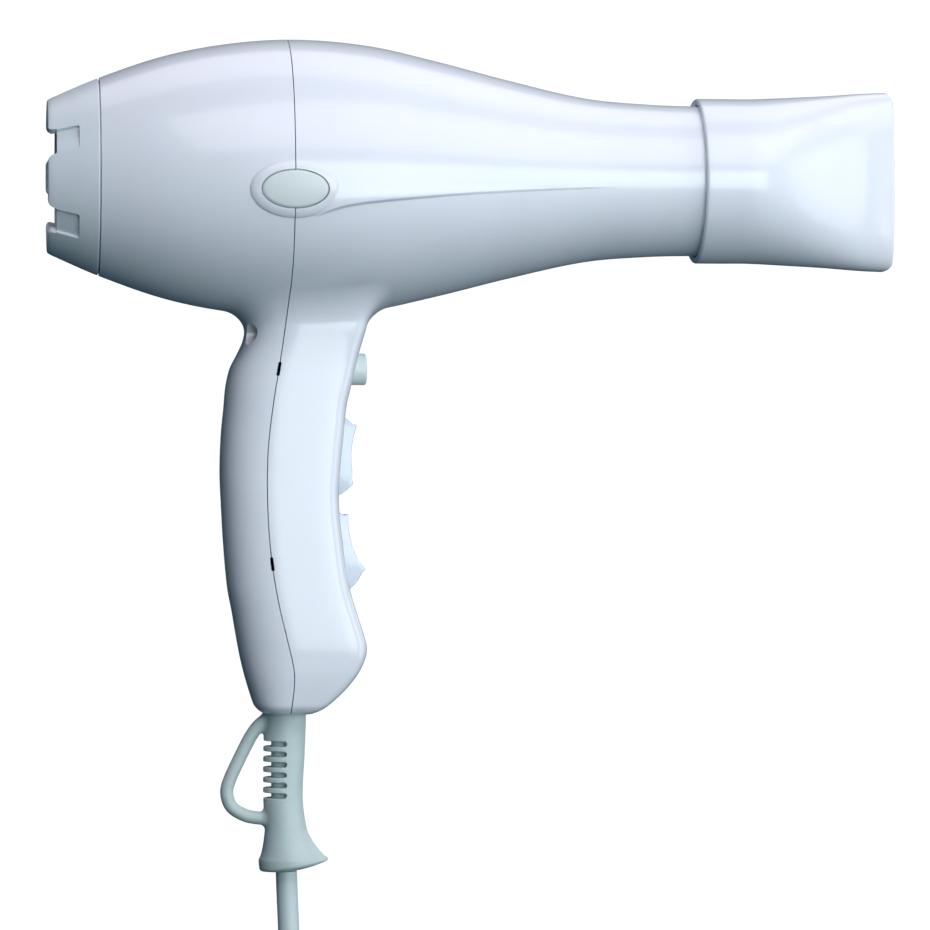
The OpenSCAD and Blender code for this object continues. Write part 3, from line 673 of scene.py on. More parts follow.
@dataclass
class Housing:
    """The two shells of the barrel and grip."""

    step: float = 1.0
    inner_step: float = 2.0
    # Screw posts in the rear and front shell, the recess of the head and the way of the thread, all radii
    boss_r: float = 5.0
    post_r: float = 3.6
    recess_r: float = 3.5
    way_r: float = 1.4
    # Station and inner radius of the ribs that hold the works, their outer radius and thickness
    ribs: tuple[tuple[float, float], ...] = ((-30, 35.35), (14, 35.35), (64, 24.15))
    rib_out: float = 47.0
    rib_thick: float = 1.6
    # Half length and half width of the snap slots along the parting line
    snap_long: float = 2.2
    snap_wide: float = 0.55
    clearance: float = 0.3

    def refine(self, obj: Piece) -> None:
        """Splits the quads under the teardrop finer, and lays them on the relief.

        Args:
            obj: The outside of the body.
        """
        bm = bmesh.new()
        bm.from_mesh(obj.data)
        middle = {f: f.calc_center_median() / MM for f in bm.faces}
        near = [f for f, m in middle.items() if -15 < m.x < 110 and 79 < m.z < 101 and abs(m.y) > 18]
        edges = list({e for f in near for e in f.edges})
        bmesh.ops.subdivide_edges(bm, edges=edges, cuts=2, use_grid_fill=True)
        bmesh.ops.triangulate(bm, faces=[f for f in bm.faces if len(f.verts) > 4])
        points = np.array([v.co for v in bm.verts]) / MM
        points = settle(shell_field, points)
        for vert, point in zip(bm.verts, points * MM):
            vert.co = point
        bm.to_mesh(obj.data)
        bm.free()

    def outside(self) -> Piece:
        """Meshes the outside of both shells as one solid, cut to the barrel's length.

        Returns:
            The solid.
        """
        def closed(x: Array, y: Array, z: Array) -> Array:
            """Distance to the shells' outside, closed behind and in front of the barrel."""
            return np.maximum(shell_field(x, y, z), np.maximum(-66 - x, x - 160))

        made = net("outside", closed, (-68, -49, -82), (162, 49, 145), self.step)
        self.refine(made)
        return combine(made, Cut.COMMON, rod("length", COVER_X, MUZZLE_X, 200, z=0, sides=8))

    def cavity(self) -> Piece:
        """Meshes the hollow inside the shells, round the screw posts and the ribs.

        Returns:
            The solid.
        """
        def hollow(x: Array, y: Array, z: Array) -> Array:
            """Distance to the inner wall, closed at both ends of the barrel."""
            return np.maximum(body_field(x, y, z) + WALL, np.maximum(COVER_X + 3 - x, x - 158))

        made = net("cavity", hollow, (-60, -48, -80), (160, 48, 143), self.inner_step)
        combine(made, Cut.JOIN, rod("lip", COVER_X - 2, COVER_X + 4, 30.7))
        for y, z, seat, seam in SCREWS:
            combine(made, Cut.AWAY, rod("post", -40, seam - 0.2, self.boss_r, 1.06 * y, z, 32))
            combine(made, Cut.AWAY, rod("post", seam + 0.2, 45, self.post_r, y, z, 32))
        for x, radius in self.ribs:
            combine(made, Cut.AWAY, tube("rib", x, x + self.rib_thick, radius, self.rib_out))
        return made

    def openings(self, shell: Piece) -> None:
        """Cuts the seats of the caps, the controls' openings, the screw recesses and the snap slots.

        Args:
            shell: The hollow shells.
        """
        t = around(96)
        oval = np.stack([SEAM_X + (CAP_A + 0.1) * np.cos(t), CAP_Z + (CAP_B + 0.1) * np.sin(t)], 1)
        for side in (-1, 1):
            seat = prism("seat", oval, *sorted((side * 60, side * 34), reverse=True))
            level = [(x, barrel_r(x) - CAP_SEAT) for x in range(-20, 26, 2)]
            floor = turned("floor", [(-20, 0), *level, (24, 0)])
            combine(seat, Cut.AWAY, floor)
            combine(shell, Cut.AWAY, seat)
        gap = self.clearance
        combine(shell, Cut.AWAY, rod("button", 15, 45, BUTTON_D / 2 + gap, 0, BUTTON_Z))
        for px, pz in (HEAT_PIVOT, SPEED_PIVOT):
            for radius, start in ((ROCKER_R, 1), (ROCKER_TIP_R, 8)):
                reach = math.degrees(math.acos(start / (radius + gap)))
                sector = [(px + x, pz + z) for x, z in arc((0, 0), radius + gap, -reach, reach, 48)]
                combine(shell, Cut.AWAY, prism("slot", sector, -ROCKER_W / 2 - gap, ROCKER_W / 2 + gap))
        for y, z, seat, seam in SCREWS:
            combine(shell, Cut.AWAY, rod("recess", -40, seat, self.recess_r, y, z, 48),
                    rod("way", seat - 1, 12, self.way_r, y, z, 24))
        for z in SLOT_HEIGHTS:
            long, wide = self.snap_long, self.snap_wide
            low_x, high_x = (float(curve(SEAM, z + end)) for end in (-long, long))
            outline = [(low_x - wide, z - long), (low_x + wide, z - long), (high_x + wide, z + long),
                       (high_x - wide, z + long)]
            for side in (-1, 1):
                combine(shell, Cut.AWAY, prism("snap", outline, *sorted((side * 14, side * 25))))
        combine(shell, Cut.AWAY, turned_z("boot hole", ((-90, 7.1), (-74, 7.1)), (1, 0)))

    def build(self) -> None:
        """Builds both shells."""
        shell = combine(self.outside(), Cut.AWAY, self.cavity())
        self.openings(shell)
        rear = linked("rear_shell", shell.data.copy())
        shell.name = "front_shell"
        for obj, front, node in ((shell, True, "front_housing"), (rear, False, "rear_housing")):
            combine(obj, Cut.COMMON, region(front))
            place(obj, "housing", WHITE_ABS, node, shape=shell_field)


def turned_z(name: str, profile: Rows, at: Sequence[float], sides: int = 64) -> Piece:
    """Turns a profile of Z and radius, lowest first, about the upright line at X and Y, its ends capped."""
    t = around(sides)
    return loft(name, [
        np.stack([at[0] + r * np.cos(t), at[1] + r * np.sin(t), np.full(sides, z)], 1) for z, r in profile
    ])


# ---- rear cover ------------------------------------------------------------------------------
@dataclass
class RearCover:
    """The twist-off cover behind the fan, with its finger notches, its guard and its filter."""

    notch_depth: float = 2.9
    dish_len: float = 7.2
    round_at: float = 26.5
    dish_depth: float = 1.25
    # Inner and outer radius of the step behind the front edge and of the collar that enters the housing
    step_r: tuple[float, float] = (27.2, 31.4)
    collar_r: tuple[float, float] = (28.8, 30.4)
    collar_end: float = -54.5
    # Both faces of the guard's hoop, its radius, the thickness of its wires and how many spokes it has
    guard_x: tuple[float, float] = (-70.2, -68.6)
    guard_r: float = 26.6
    guard_wire: float = 1.2
    spokes: int = 8
    # Middle and half width of each notch, in degrees above the horizontal on the left flank, and how
    # much its dish fades out at its lower edge
    notches: tuple[tuple[float, float, float], ...] = (
        (22.5, 9.8, 1.1), (-37, 10.6, 0.15), (150.5, 12.5, 1.1), (203.5, 12.5, 0.15))

    def notch(self, centre: float, half: float) -> Piece:
        """Makes the cutter of a finger notch, its corners rounded inside and on the rim.

        Args:
            centre: Its middle, in degrees.
            half: Half its width, in degrees.

        Returns:
            The solid.
        """
        rim, floor = COVER_X - COVER_LEN, COVER_X - COVER_LEN + self.notch_depth
        w, out, corner = math.radians(half) * self.round_at, 2.3, 0.6
        side = [(rim - 4, w + out), (rim - 0.01, w + out), *arc((rim + out, w + out), out, 180, 270, 6),
                *arc((floor - corner, w - corner), corner, 90, 0, 6)]
        rings = []
        for r in (18, 44):
            ring = [(x, math.radians(180 - centre) - s / self.round_at)
                    for x, s in side + [(x, -s) for x, s in reversed(side)]]
            rings.append(np.array([(x, r * math.cos(a), AXIS_Z + r * math.sin(a)) for x, a in ring]))
        return loft("notch", rings)

    def dish(self, centre: float, half: float, fade: float) -> Piece:
        """Makes the cutter of the thumb dish in front of a notch, deepest along its upper edge.

        Args:
            centre: Its middle, in degrees.
            half: Half its width, in degrees.
            fade: How much shallower it is at its lower edge.

        Returns:
            The solid.
        """
        start, corner, taper = COVER_X - COVER_LEN - 1, 0.7, 0.1
        w, end = math.radians(half - 0.6) * self.round_at, start + 1 + self.notch_depth + self.dish_len
        upper = 1 if abs(centre) < 90 else -1
        rings = []
        for s in w * np.sin(np.linspace(-math.pi / 2, math.pi / 2, 25)):
            over = max(0.0, abs(s) - (w - corner)) / corner
            far = end - corner * (1 - math.sqrt(max(0.0, 1 - over**2)))
            rise = self.dish_depth - fade * float(ramp(np.array(-upper * s / w), -0.4, 1.0))
            line = [(x, barrel_r(x) - rise) for x in np.linspace(start, far, 9)]
            ring = []
            for x, r in line + [(far, 44), (start, 44)]:
                a = math.radians(180 - centre) - s * (1 - taper * (x - start) / (end - start)) / self.round_at
                ring.append((x, r * math.cos(a), AXIS_Z + r * math.sin(a)))
            rings.append(np.array(ring))
        return loft("dish", rings)

    def build(self) -> None:
        """Builds the cover and its filter."""
        back, front = COVER_X - COVER_LEN, COVER_X - SEAM_GAP - 0.1
        outer = [(x, barrel_r(x)) for x in np.linspace(front, back + 1.4, 14)]
        rim = barrel_r(back)
        profile = [(front, outer[0][1] - 0.35), (front - 0.35, barrel_r(front - 0.35))] + outer[1:]
        profile += arc((back + 1.0, rim - 0.75), 1.0, 100, 180, 5)[1:]
        profile += arc((back + 0.8, rim - WALL + 0.8), 0.8, 180, 270, 4)
        profile += [(x, barrel_r(x) - WALL) for x in np.linspace(back + 3, front, 10)]
        cover = turned("rear_cover", profile[::-1], 256)
        # The step behind the front edge and the collar that twists into the housing
        combine(cover, Cut.JOIN, tube("step", front - 2, front, *self.step_r),
                tube("collar", front - 1, self.collar_end, *self.collar_r))
        for centre, half, fade in self.notches:
            combine(cover, Cut.AWAY, self.notch(centre, half), self.dish(centre, half, fade))
        # The guard: round wires in rings, a hoop in the wall and spokes
        wire, (start, end) = self.guard_wire / 2, self.guard_x
        for r in range(3, 24, 4):
            ring = arc(((start + end) / 2, r + wire), wire, 45, 405, 8)[:-1]
            combine(cover, Cut.JOIN, turned("guard", ring, 128))
        combine(cover, Cut.JOIN, tube("guard", start, end, self.guard_r - 1, self.guard_r))
        for k in range(self.spokes):
            combine(cover, Cut.JOIN, self.spoke(k * 2 * math.pi / self.spokes))
        place(cover, "rear_cover", COVER_ABS, "rear_cover")
        place(self.filter(), "rear_cover", MESH_STEEL, "filter_screen", angle=50)

    def spoke(self, turn: float) -> Piece:
        """Makes one spoke of the guard.

        Args:
            turn: Its angle round the axis.

        Returns:
            The solid.
        """
        (back, front), half = (-70.0, -68.7), 0.7
        section = [(back, -half), (front, -half), (front, half), (back, half)]
        rings = []
        for r in (3.6, self.guard_r):
            rings.append(np.array([
                (x, r * math.cos(turn) - s * math.sin(turn), AXIS_Z + r * math.sin(turn) + s * math.cos(turn))
                for x, s in section]))
        return loft("spoke", rings)

    def filter(self) -> Piece:
        """Weaves the fine filter behind the guard, in its ring.

        Returns:
            The mesh object.
        """
        x0, radius, pitch, wire = -63.1, 25.8, 1.6, 0.16
        points, faces = [], []
        rows = int(radius / pitch)
        for lie in (0, 1):
            for i in range(-rows, rows + 1):
                s = i * pitch
                half = math.sqrt(radius**2 - s * s)
                steps = max(2, int(2 * half / pitch) * 2)
                for j in range(steps + 1):
                    t = -half + 2 * half * j / steps
                    wave = 0.17 * math.cos(math.pi * (t / pitch + i + lie))
                    for dx, ds in ((-wire, 0), (0, wire), (wire, 0), (0, -wire)):
                        a, b = (t, s + ds) if lie else (s + ds, t)
                        points.append((x0 + wave + dx, a, AXIS_Z + b))
                    if j:
                        base = len(points) - 8
                        faces += [(base + k, base + (k + 1) % 4, base + 4 + (k + 1) % 4, base + 4 + k)
                                  for k in range(4)]
        weave = write_mesh("filter_screen", np.array(points), faces)
        hoop = turned("hoop", arc((-62.9, 26.9), 0.6, 90, 450, 16)[:-1])
        bm = bmesh.new()
        for part in (weave, hoop):
            bm.from_mesh(part.data)
        bmesh.ops.recalc_face_normals(bm, faces=bm.faces)
        bm.to_mesh(weave.data)
        bm.free()
        bpy.data.objects.remove(hoop)
        return weave


# ---- nozzle ----------------------------------------------------------------------------------
@dataclass
class Nozzle:
    """The concentrator: a round collar that flattens into an upright slot."""

    start: float = 137.0
    length: float = 66.0
    half_z: float = 29.9
    half_y: float = 9.0
    wall: float = 1.9
    corner: float = 3.4

    def rows(self) -> Rows:
        """Lists the sections.

        Returns:
            Station, half height, half width and squareness of each.
        """
        x, end = self.start, self.start + self.length
        return (
            (x, 27.3, 27.3, 2), (x + 9, 27.3, 27.3, 2), (x + 18, 27.3, 27.0, 2), (x + 31, 27.9, 22.9, 2.1),
            (x + 44, 28.6, 16.8, 2.4), (end - 10, self.half_z - 0.4, self.half_y + 2.6, 2.8),
            (end, self.half_z, self.half_y, 3.1),
        )

    def ring(self, x: float, inset: float) -> Array:
        """Makes one section.

        Args:
            x: Station whose shape it has.
            inset: How far it lies inside the outer surface.

        Returns:
            The points round it.
        """
        t = around(160)
        high, wide, power = (float(curve(self.rows(), x, c)) for c in (1, 2, 3))
        u, v = squared(t, power)
        return np.stack([np.full(len(t), x), (wide - inset) * u, AXIS_Z + (high - inset) * v], 1)

    def build(self) -> None:
        """Builds the nozzle."""
        x, end = self.start, self.start + self.length
        lip, edge = 0.9, 0.55
        rings = [self.ring(x + lip - lip * math.sin(a), lip - lip * math.cos(a))
                 for a in np.radians((90, 68, 45, 22))]
        rings += [self.ring(s, 0.0) for s in np.linspace(x + lip, end - edge, 72)]
        rings += [self.ring(end - edge + edge * math.sin(a), edge - edge * math.cos(a))
                  for a in np.radians((30, 60, 90))]
        inside = self.wall
        rings += [self.ring(end - edge + edge * math.sin(a), inside - edge + edge * math.cos(a))
                  for a in np.radians((90, 60, 30))]
        rings += [self.ring(s, inside) for s in np.linspace(end - edge, x + 19.6, 40)]
        bore = 27.3 - 25.1
        rings += [self.ring(x + 19, bore), self.ring(x + 0.6, bore), self.ring(x, bore - 0.5)]
        made = loft("nozzle", rings, endless=True)
        c, half = self.corner, self.half_z + 0.02
        mouth = [(x - 1, AXIS_Z - 45), (end - c - 6, AXIS_Z - 45), (end - c - 6, AXIS_Z - half)]
        mouth += arc((end + 0.02 - c, AXIS_Z - half + c), c, -90, 0, 10)
        mouth += arc((end + 0.02 - c, AXIS_Z + half - c), c, 0, 90, 10)
        mouth += [(end - c - 6, AXIS_Z + half), (end - c - 6, AXIS_Z + 45), (x - 1, AXIS_Z + 45)]
        combine(made, Cut.COMMON, prism("mouth", mouth, -45, 45))
        place(made, "nozzle", WHITE_ABS, "nozzle", angle=40)


# ---- caps and controls -----------------------------------------------------------------------
@dataclass
class Controls:
    """The two caps on the flanks, the cool-shot button and the two rockers."""

    dome: float = 1.15

    def cap(self, side: int) -> Piece:
        """Makes a domed oval cap that follows the barrel.

        Args:
            side: -1 for the left flank, 1 for the right one.

        Returns:
            The solid.
        """
        t = around(96)
        levels = [(0.02, 0.0)] + [(s, 0.0) for s in np.linspace(0.1, 0.9, 9)]
        levels += [(0.93, 0.04), (0.96, 0.14), (0.985, 0.32), (1.0, 0.6), (1.0, 2.2)]
        rings = []
        for share, drop in levels:
            x = SEAM_X + (CAP_A - 0.22) * share * np.cos(t)
            z = CAP_Z + (CAP_B - 0.22) * share * np.sin(t)
            out = np.sqrt(curve(BARREL, x) ** 2 - (z - AXIS_Z) ** 2)
            rings.append(np.stack([x, side * (out + self.dome * (1.1 - 0.25 * share**2) - drop), z], 1))
        return loft("badge_left" if side < 0 else "badge_right", rings[::side])

    def button(self) -> Piece:
        """Makes the cool-shot button, slightly dished.

        Returns:
            The solid.
        """
        r, x = BUTTON_D / 2, BUTTON_FRONT
        profile = [(15.4, 1.4), (17.8, 1.4), (17.8, r + 0.9), (19.1, r + 0.9), (19.1, r)]
        profile += arc((x - 0.8, r - 0.8), 0.8, 90, 12, 6)
        profile += [(x - 0.12, r * 0.6), (x - 0.25, r * 0.3), (x - 0.3, 0.02)]
        return turned("cool_shot_button", profile, 96, (0, 0, BUTTON_Z), endless=False)

    def rocker(self, name: str, pivot: Sequence[float], tilt: float, low: Sequence[float]) -> Piece:
        """Makes a rocker with two raised ends and softened edges.

        Args:
            name: The object's name.
            pivot: X and Z of its pivot.
            tilt: How far it is tipped at rest, in degrees, its upper end inwards.
            low: Tip of its lower end, from the pivot.

        Returns:
            The solid.
        """
        tip = arc((0, 0), ROCKER_R, -72, -41, 5)
        face = [(low[0] - 0.1, low[1]), (low[0] - 0.45, low[1] + 0.8), (11.2, -5.6), (10.9, -3), (10.85, 0),
                (11.15, 3.4), (11.75, 6.4), (12.5, 8.9), (12.85, 9.7)]
        outline = [(2.8, -13), *tip, *face, *arc((0, 0), ROCKER_R, 41, 72, 5), (2.8, 13), (2.8, 3), (0, 3),
                   (0, -3), (2.8, -3)]
        (px, pz), c, s = pivot, math.cos(math.radians(tilt)), math.sin(math.radians(tilt))
        tipped = [(px + x * c - z * s, pz + x * s + z * c) for x, z in outline]
        made = prism(name, tipped, -ROCKER_W / 2, ROCKER_W / 2)
        bevel = made.modifiers.new("edges", "BEVEL")
        bevel.width, bevel.segments = 0.45 * MM, 3
        bevel.limit_method, bevel.angle_limit = "ANGLE", math.radians(50)
        made.data = bpy.data.meshes.new_from_object(made.evaluated_get(bpy.context.evaluated_depsgraph_get()))
        made.modifiers.clear()
        made.data.name = name
        return made

    def build(self) -> None:
        """Builds the caps and the controls."""
        for side, node in ((-1, "badge_left"), (1, "badge_right")):
            place(self.cap(side), "housing", CAP_ABS, node, angle=50)
        place(self.button(), "cool_shot_button", CAP_ABS, "cool_shot_button", angle=40)
        for node, pivot, tilt, low in (("heat_rocker", HEAT_PIVOT, 0, (11.6, -8.9)),
                                       ("speed_rocker", SPEED_PIVOT, 18, (12.85, -9.35))):
            place(self.rocker(node, pivot, tilt, low), node, ROCKER_ABS, node, angle=28)


# ---- strain relief and lead ------------------------------------------------------------------
# Height, centre along X, half length and half width of the strain relief
BOOT = (
    (-140, 3.9, 11.4, 10.4), (-130.4, 3.9, 11.4, 10.4), (-127.4, 3.9, 11.6, 10.4), (-126, 3.4, 10.5, 9.8),
    (-123.6, 2.6, 9.1, 8.7), (-120.5, 1.8, 7.8, 7.6), (-117, 1.2, 6.9, 6.9), (-107, 0.3, 6.5, 6.5),
    (-93, 0.6, 6.8, 6.6), (-79, 1, 6.9, 6.7), (-60, 1, 6.9, 6.7),
)
# Hanging loop in the middle plane: X and Z
LOOP = ((0, -79.2), (-3.6, -80.6), (-7.2, -82.8), (-10.3, -86.8), (-14, -94), (-17.3, -101.2), (-18.2, -105.5),
        (-16.6, -109.9), (-12.4, -112.6), (-8, -113.6), (-3.5, -113.8), (0, -113.8))
LOOP_R = 2.15
SLOT_TOP, SLOT_PITCH, SLOT_COUNT = -89.1, 3.4, 6


def boot_field(x: Array, y: Array, z: Array) -> Array:
    """Distance to the strain relief with its loop and slots.

    Args:
        x: Places along the barrel.
        y: Places across it.
        z: Heights.

    Returns:
        The distance, negative inside.
    """
    centre, long, wide = (curve(BOOT, z, c) for c in (1, 2, 3))
    side = (np.hypot((x - centre) / long, y / wide) - 1) * np.sqrt(long * wide)
    foot = -(z + 131.4 - 0.0135 * ((x + 2) ** 2 + y * y))
    body = round_common(side, foot, 0.9)
    keys = [(i, *p) for i, p in enumerate(LOOP)]
    line = [[float(curve(keys, s, c)) for c in (1, 2)] for s in np.linspace(0, len(LOOP) - 1, 67)]
    loop = np.full(np.broadcast(x, y, z).shape, 99.0)
    for (ax, az), (bx, bz) in zip(line, line[1:]):
        dx, dz = bx - ax, bz - az
        t = np.clip(((x - ax) * dx + (z - az) * dz) / (dx * dx + dz * dz), 0, 1)
        loop = np.minimum(loop, np.sqrt((x - ax - t * dx) ** 2 + y * y + (z - az - t * dz) ** 2))
    made = round_union(body, loop - LOOP_R, 1.6)
    for i in range(SLOT_COUNT):
        level = SLOT_TOP - i * SLOT_PITCH
        flat = np.hypot(np.maximum(x - 0.2, 0), z - level) - 0.85
        core = 3.7 * (1 - np.hypot((x - 1) / 4.6, y / 3.7))
        made = round_common(made, -np.maximum(np.maximum(flat, core), -7.4 - x), 0.3)
    return np.maximum(made, z + 74.6)


@dataclass
class Lead:
    """The strain relief, the mains lead in its folded hank, the strap round it and the plug."""

    diameter: float = 7.0
    fold_r: float = 30.0
    run: float = 105.0
    turns: int = 4
    pitch: float = 7.2
    x: float = 2.2
    top: float = -193.5
    plug_top: float = -353.0
    plug_len: float = 46.0
    pin_pitch: float = 19.0
    pin_r: float = 2.4
    pin_len: float = 19.0

    def route(self) -> list[tuple[float, float, float]]:
        """Follows the lead from the strain relief, round the hank's folds and down to the plug.

        Returns:
            Points along it.
        """
        points = [(1.4, 0, -131.2), (1.6, 0, -137), (1.9, 0, -144), (2.2, 0, -152), (2.2, 0, -162),
                (2.2, 0, -178), (2.2, 0, self.top)]
        low, middle = self.top - self.run, self.x + self.fold_r
        for turn in range(self.turns):
            y = turn * self.pitch
            points += [(self.x, y, self.top - self.run * k / 6) for k in range(1, 6)]
            for start, height in ((180, low), (0, self.top)):
                for k in range(0, 19):
                    a = math.radians(start + 10 * k)
                    shift = self.pitch / 2 * (float(ramp(np.array(k / 18), 0, 1)) + (start == 0))
                    across, up = self.fold_r * math.cos(a), self.fold_r * math.sin(a)
                    points.append((middle + across, y + shift, height + up))
                if start == 180:
                    far, mid_y = middle + self.fold_r, y + self.pitch / 2
                    points += [(far, mid_y, low + self.run * k / 6) for k in range(1, 6)]
        y = self.turns * self.pitch
        points += [(self.x, y, self.top - self.run * k / 6) for k in range(1, 7)]
        points += [(self.x, y, z) for z in (-312, -326, -340, self.plug_top - 4)]
        return points

    def flex(self) -> Piece:
        """Makes the lead as a round curve.

        Returns:
            The curve object.
        """
        data = bpy.data.curves.new("mains_lead", "CURVE")
        data.dimensions, data.bevel_depth, data.bevel_resolution = "3D", self.diameter / 2 * MM, 6
        data.resolution_u, data.use_fill_caps = 3, True
        points = self.route()
        spline = data.splines.new("BEZIER")
        spline.bezier_points.add(len(points) - 1)
        for knot, point in zip(spline.bezier_points, points):
            knot.co = Vector(point) * MM
            knot.handle_left_type = knot.handle_right_type = "AUTO"
        return linked("mains_lead", data)

    def strap(self) -> Piece:
        """Makes the strap round both runs of the hank.

        Returns:
            The solid.
        """
        reach, corner = self.fold_r + self.diameter / 2 + 0.25, 3.4
        low_y, high_y = -self.diameter / 2 - 0.25, self.turns * self.pitch + self.diameter / 2 + 0.25
        middle, centre_z = self.x + self.fold_r, self.top - self.run / 2
        section = []
        for out in (0.0, 1.2):
            ring, c = [], corner + out
            for sx, sy, start in ((1, 1, 0), (-1, 1, 90), (-1, -1, 180), (1, -1, 270)):
                cx = middle + sx * (reach - corner)
                cy = (high_y - corner) if sy > 0 else (low_y + corner)
                ring += arc((cx, cy), c, start, start + 90, 6)
            section.append(ring)
        rings = []
        for ring, z in ((section[1], -5.7), (section[1], 5.7), (section[0], 6.0), (section[0], -6.0)):
            rings.append(np.array([(px, py, centre_z + z) for px, py in ring]))
        return loft("lead_strap", rings, endless=True)

    def plug(self) -> Piece:
        """Makes the plug's body with its grip grooves.

        Returns:
            The solid.
        """
        top, y = self.plug_top, self.turns * self.pitch
        rows = ((-46, 16.2, 7.6, 3.2), (-45.6, 17, 8.5, 3.2), (-44.6, 17.4, 9, 3.2), (-30, 17.2, 9, 3),
                (-26, 15.4, 8.8, 2.7), (-20, 8.4, 7.4, 2.2), (-17.5, 6.7, 6.6, 2), (-10, 5.8, 5.8, 2),
                (-1, 5.1, 5.1, 2), (0, 4.6, 4.6, 2))
        t = around(96)
        rings = []
        for z in np.concatenate([np.linspace(-46, -44.6, 5), np.linspace(-44, -0.8, 120), [-0.4, 0]]):
            long, wide, power = (float(curve(rows, z, c)) for c in (1, 2, 3))
            groove = 0.55 * max(0.0, math.cos(math.pi * (z + 35) / 2.2)) ** 2 if -42 < z < -28 else 0.0
            ridge = 0.35 * max(0.0, math.cos(math.pi * (z + 9) / 1.7)) if -15.5 < z < -2.5 else 0.0
            u, v = squared(t, power)
            rings.append(np.stack([
                self.x + (long - groove - ridge) * u, y + (wide - 0.4 * ridge) * v, np.full(len(t), top + z)], 1))
        return loft("plug_body", rings)

    def pins(self) -> Piece:
        """Makes the two pins with rounded tips.

        Returns:
            The mesh object.
        """
        face, tip, r = self.plug_top - self.plug_len, self.plug_top - self.plug_len - self.pin_len, self.pin_r
        profile = [(tip + r * 0.9 * (1 - math.cos(a)), r * math.sin(a)) for a in np.radians((4, 25, 45, 65, 90))]
        profile.append((face + 8, r))
        y = self.turns * self.pitch
        pins = [turned_z("plug_pins", profile, (self.x + s * self.pin_pitch / 2, y)) for s in (-1, 1)]
        return combine(pins[0], Cut.JOIN, pins[1])

    def build(self) -> None:
        """Builds the strain relief, the lead and what it carries."""
        boot = net("strain_relief", boot_field, (-21.5, -12.5, -133.5), (17.5, 12.5, -72.5), 0.45)
        place(boot, "housing", BOOT_PVC, "strain_relief", shape=boot_field)
        flex = self.flex()
        place(flex, "housing", LEAD_PVC, "cord", "cord_hank", "cord_tail")
        strap, plug, pins = self.strap(), self.plug(), self.pins()
        for piece, finish, node, angle in (
                (strap, TIE_STRAP, "cord_tie", 40), (plug, LEAD_PVC, "plug_body", 35),
                (pins, PIN_NICKEL, "plug_pins", 35)):
            place(piece, "housing", finish, node, angle=angle)
        length = MM * sum(math.dist(a, b) for a, b in zip(self.route(), self.route()[1:]))


# ---- works inside ----------------------------------------------------------------------------
INNER = {
    "fan_impeller": FAN_NYLON, "motor_shaft": ZINC_STEEL, "motor_can": ZINC_STEEL, "motor_ring_rear": RUBBER,
    "motor_ring_front": RUBBER, "motor_duct": DUCT_PET, "rectifier": BOARD, "mica_tube": MICA,
    "heater_frame": MICA, "heater_coil": NICHROME, "heater_leads": SILICONE, "thermostat": ZINC_STEEL,
    "thermal_fuse": FUSE_BRASS, "outlet_grille": GRILLE_STEEL, "cool_shot_spring": ZINC_STEEL,
    "cool_shot_switch": SWITCH_CASE, "heat_switch": SWITCH_CASE, "speed_switch": SWITCH_CASE,
    "switch_board": BOARD, "board_screws": ZINC_STEEL, "suppressor": CAPACITOR, "wire_harness": SILICONE,
    "handle_screws": ZINC_STEEL, "lead_end": LEAD_PVC, "cord_clamp": BOOT_PVC, "clamp_screws": ZINC_STEEL,
}


def finish_inner_works() -> None:
    """Gives the CAD nodes inside the shells their real materials and soft shading."""
    for node, finish in INNER.items():
        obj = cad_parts[node]
        obj.data.materials.clear()
        obj.data.materials.append(finish.material())
        obj.data.polygons.foreach_set("use_smooth", np.ones(len(obj.data.polygons), bool))
        obj.data.set_sharp_from_angle(angle=math.radians(30))
    log.info("inner works: %d nodes", len(INNER))


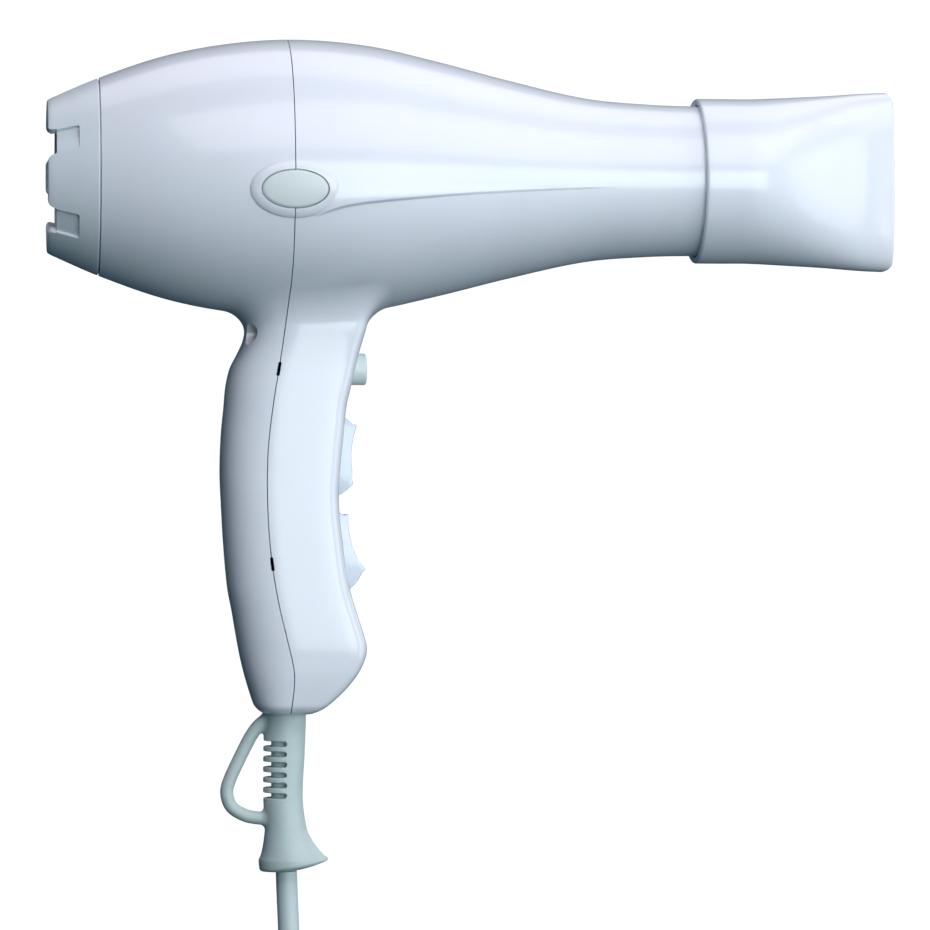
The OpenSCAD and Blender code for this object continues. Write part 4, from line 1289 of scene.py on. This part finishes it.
# ---- stage -----------------------------------------------------------------------------------
@dataclass
class Stage:
    """Camera, lamps, backdrop and world."""

    target: tuple[float, float, float] = (60.5, 0.0, 2.3)
    back: tuple[float, float, float] = (-0.111, -0.9938, 0.0)
    distance: float = 1450.0
    lens: float = 170.0

    def camera(self) -> None:
        """Places the camera on the left, a little towards the rear, level with the middle."""
        data = bpy.data.cameras.new("camera")
        data.lens, data.sensor_width = self.lens, 36
        data.clip_start, data.clip_end = 0.05, 30
        made = linked("camera", data)
        direction = Vector(self.back).normalized()
        made.location = (Vector(self.target) + direction * self.distance) * MM
        made.rotation_mode = "QUATERNION"
        made.rotation_quaternion = (-direction).to_track_quat("-Z", "Y")
        bpy.context.scene.camera = made

    def lamp(self, name: str, at: Sequence[float], aim: Sequence[float], size: tuple[float, float], watts: float,
             colour: str) -> None:
        """Adds a softbox.

        Args:
            name: The lamp's name.
            at: Where it stands.
            aim: What it points at.
            size: Its width and height.
            watts: Its power.
            colour: Its colour.
        """
        data = bpy.data.lights.new(name, "AREA")
        data.shape, data.size, data.size_y = "RECTANGLE", size[0] * MM, size[1] * MM
        data.energy, data.color = watts, srgb(colour)[:3]
        made = linked(name, data)
        made.location = Vector(at) * MM
        made.rotation_mode = "QUATERNION"
        made.rotation_quaternion = (Vector(aim) - Vector(at)).to_track_quat("-Z", "Y")

    def backdrop(self) -> None:
        """Stands a bright white sheet all round the object."""
        glow = bpy.data.materials.new("backdrop, lit evenly")
        glow.use_nodes = True
        tree = glow.node_tree
        tree.nodes.clear()
        light = add_node(tree, "Emission", Color=(1, 1, 1, 1), Strength=1.05)
        add_node(tree, "OutputMaterial", Surface=light.outputs[0])
        dome = turned_z("backdrop", ((-900, 3600), (2600, 3600)), (0, 0))
        dome.data.materials.append(glow)
        dome.visible_diffuse = dome.visible_glossy = dome.visible_shadow = dome.visible_transmission = False

    def world(self) -> None:
        """Fills the shadows with a dim cool light."""
        made = bpy.data.worlds.new("studio")
        bpy.context.scene.world = made
        made.use_nodes = True
        made.node_tree.nodes["Background"].inputs[0].default_value = srgb("#6F9DB8")
        made.node_tree.nodes["Background"].inputs[1].default_value = 0.14
        bpy.context.scene.view_settings.view_transform = "Standard"

    def build(self) -> None:
        """Sets up the studio."""
        self.camera()
        self.world()
        self.backdrop()
        self.lamp("key softbox", (250, -880, 880), (60, 0, 60), (1700, 900), 10.6, "#FFF6FF")
        self.lamp("overhead softbox", (60, 350, 1200), (60, 0, 60), (1500, 800), 6, "#FBF8FF")
        self.lamp("side softbox", (1350, -550, 20), (60, 0, 0), (700, 1100), 6, "#F6F8FF")
        self.lamp("camera-side fill", (600, -1650, 60), (40, 0, 0), (1300, 700), 14.6, "#EAF6F9")
        self.lamp("back softbox", (1100, 1200, 600), (60, 0, 0), (1000, 900), 5, "#F6FAFF")


def main() -> None:
    """Builds the hair dryer and its studio."""
    logging.basicConfig(level=logging.INFO, format="%(name)s: %(message)s")
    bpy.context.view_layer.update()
    Stage().build()
    Lead().build()
    Housing().build()
    RearCover().build()
    Nozzle().build()
    Controls().build()
    finish_inner_works()


if __name__ == "__main__":
    main()
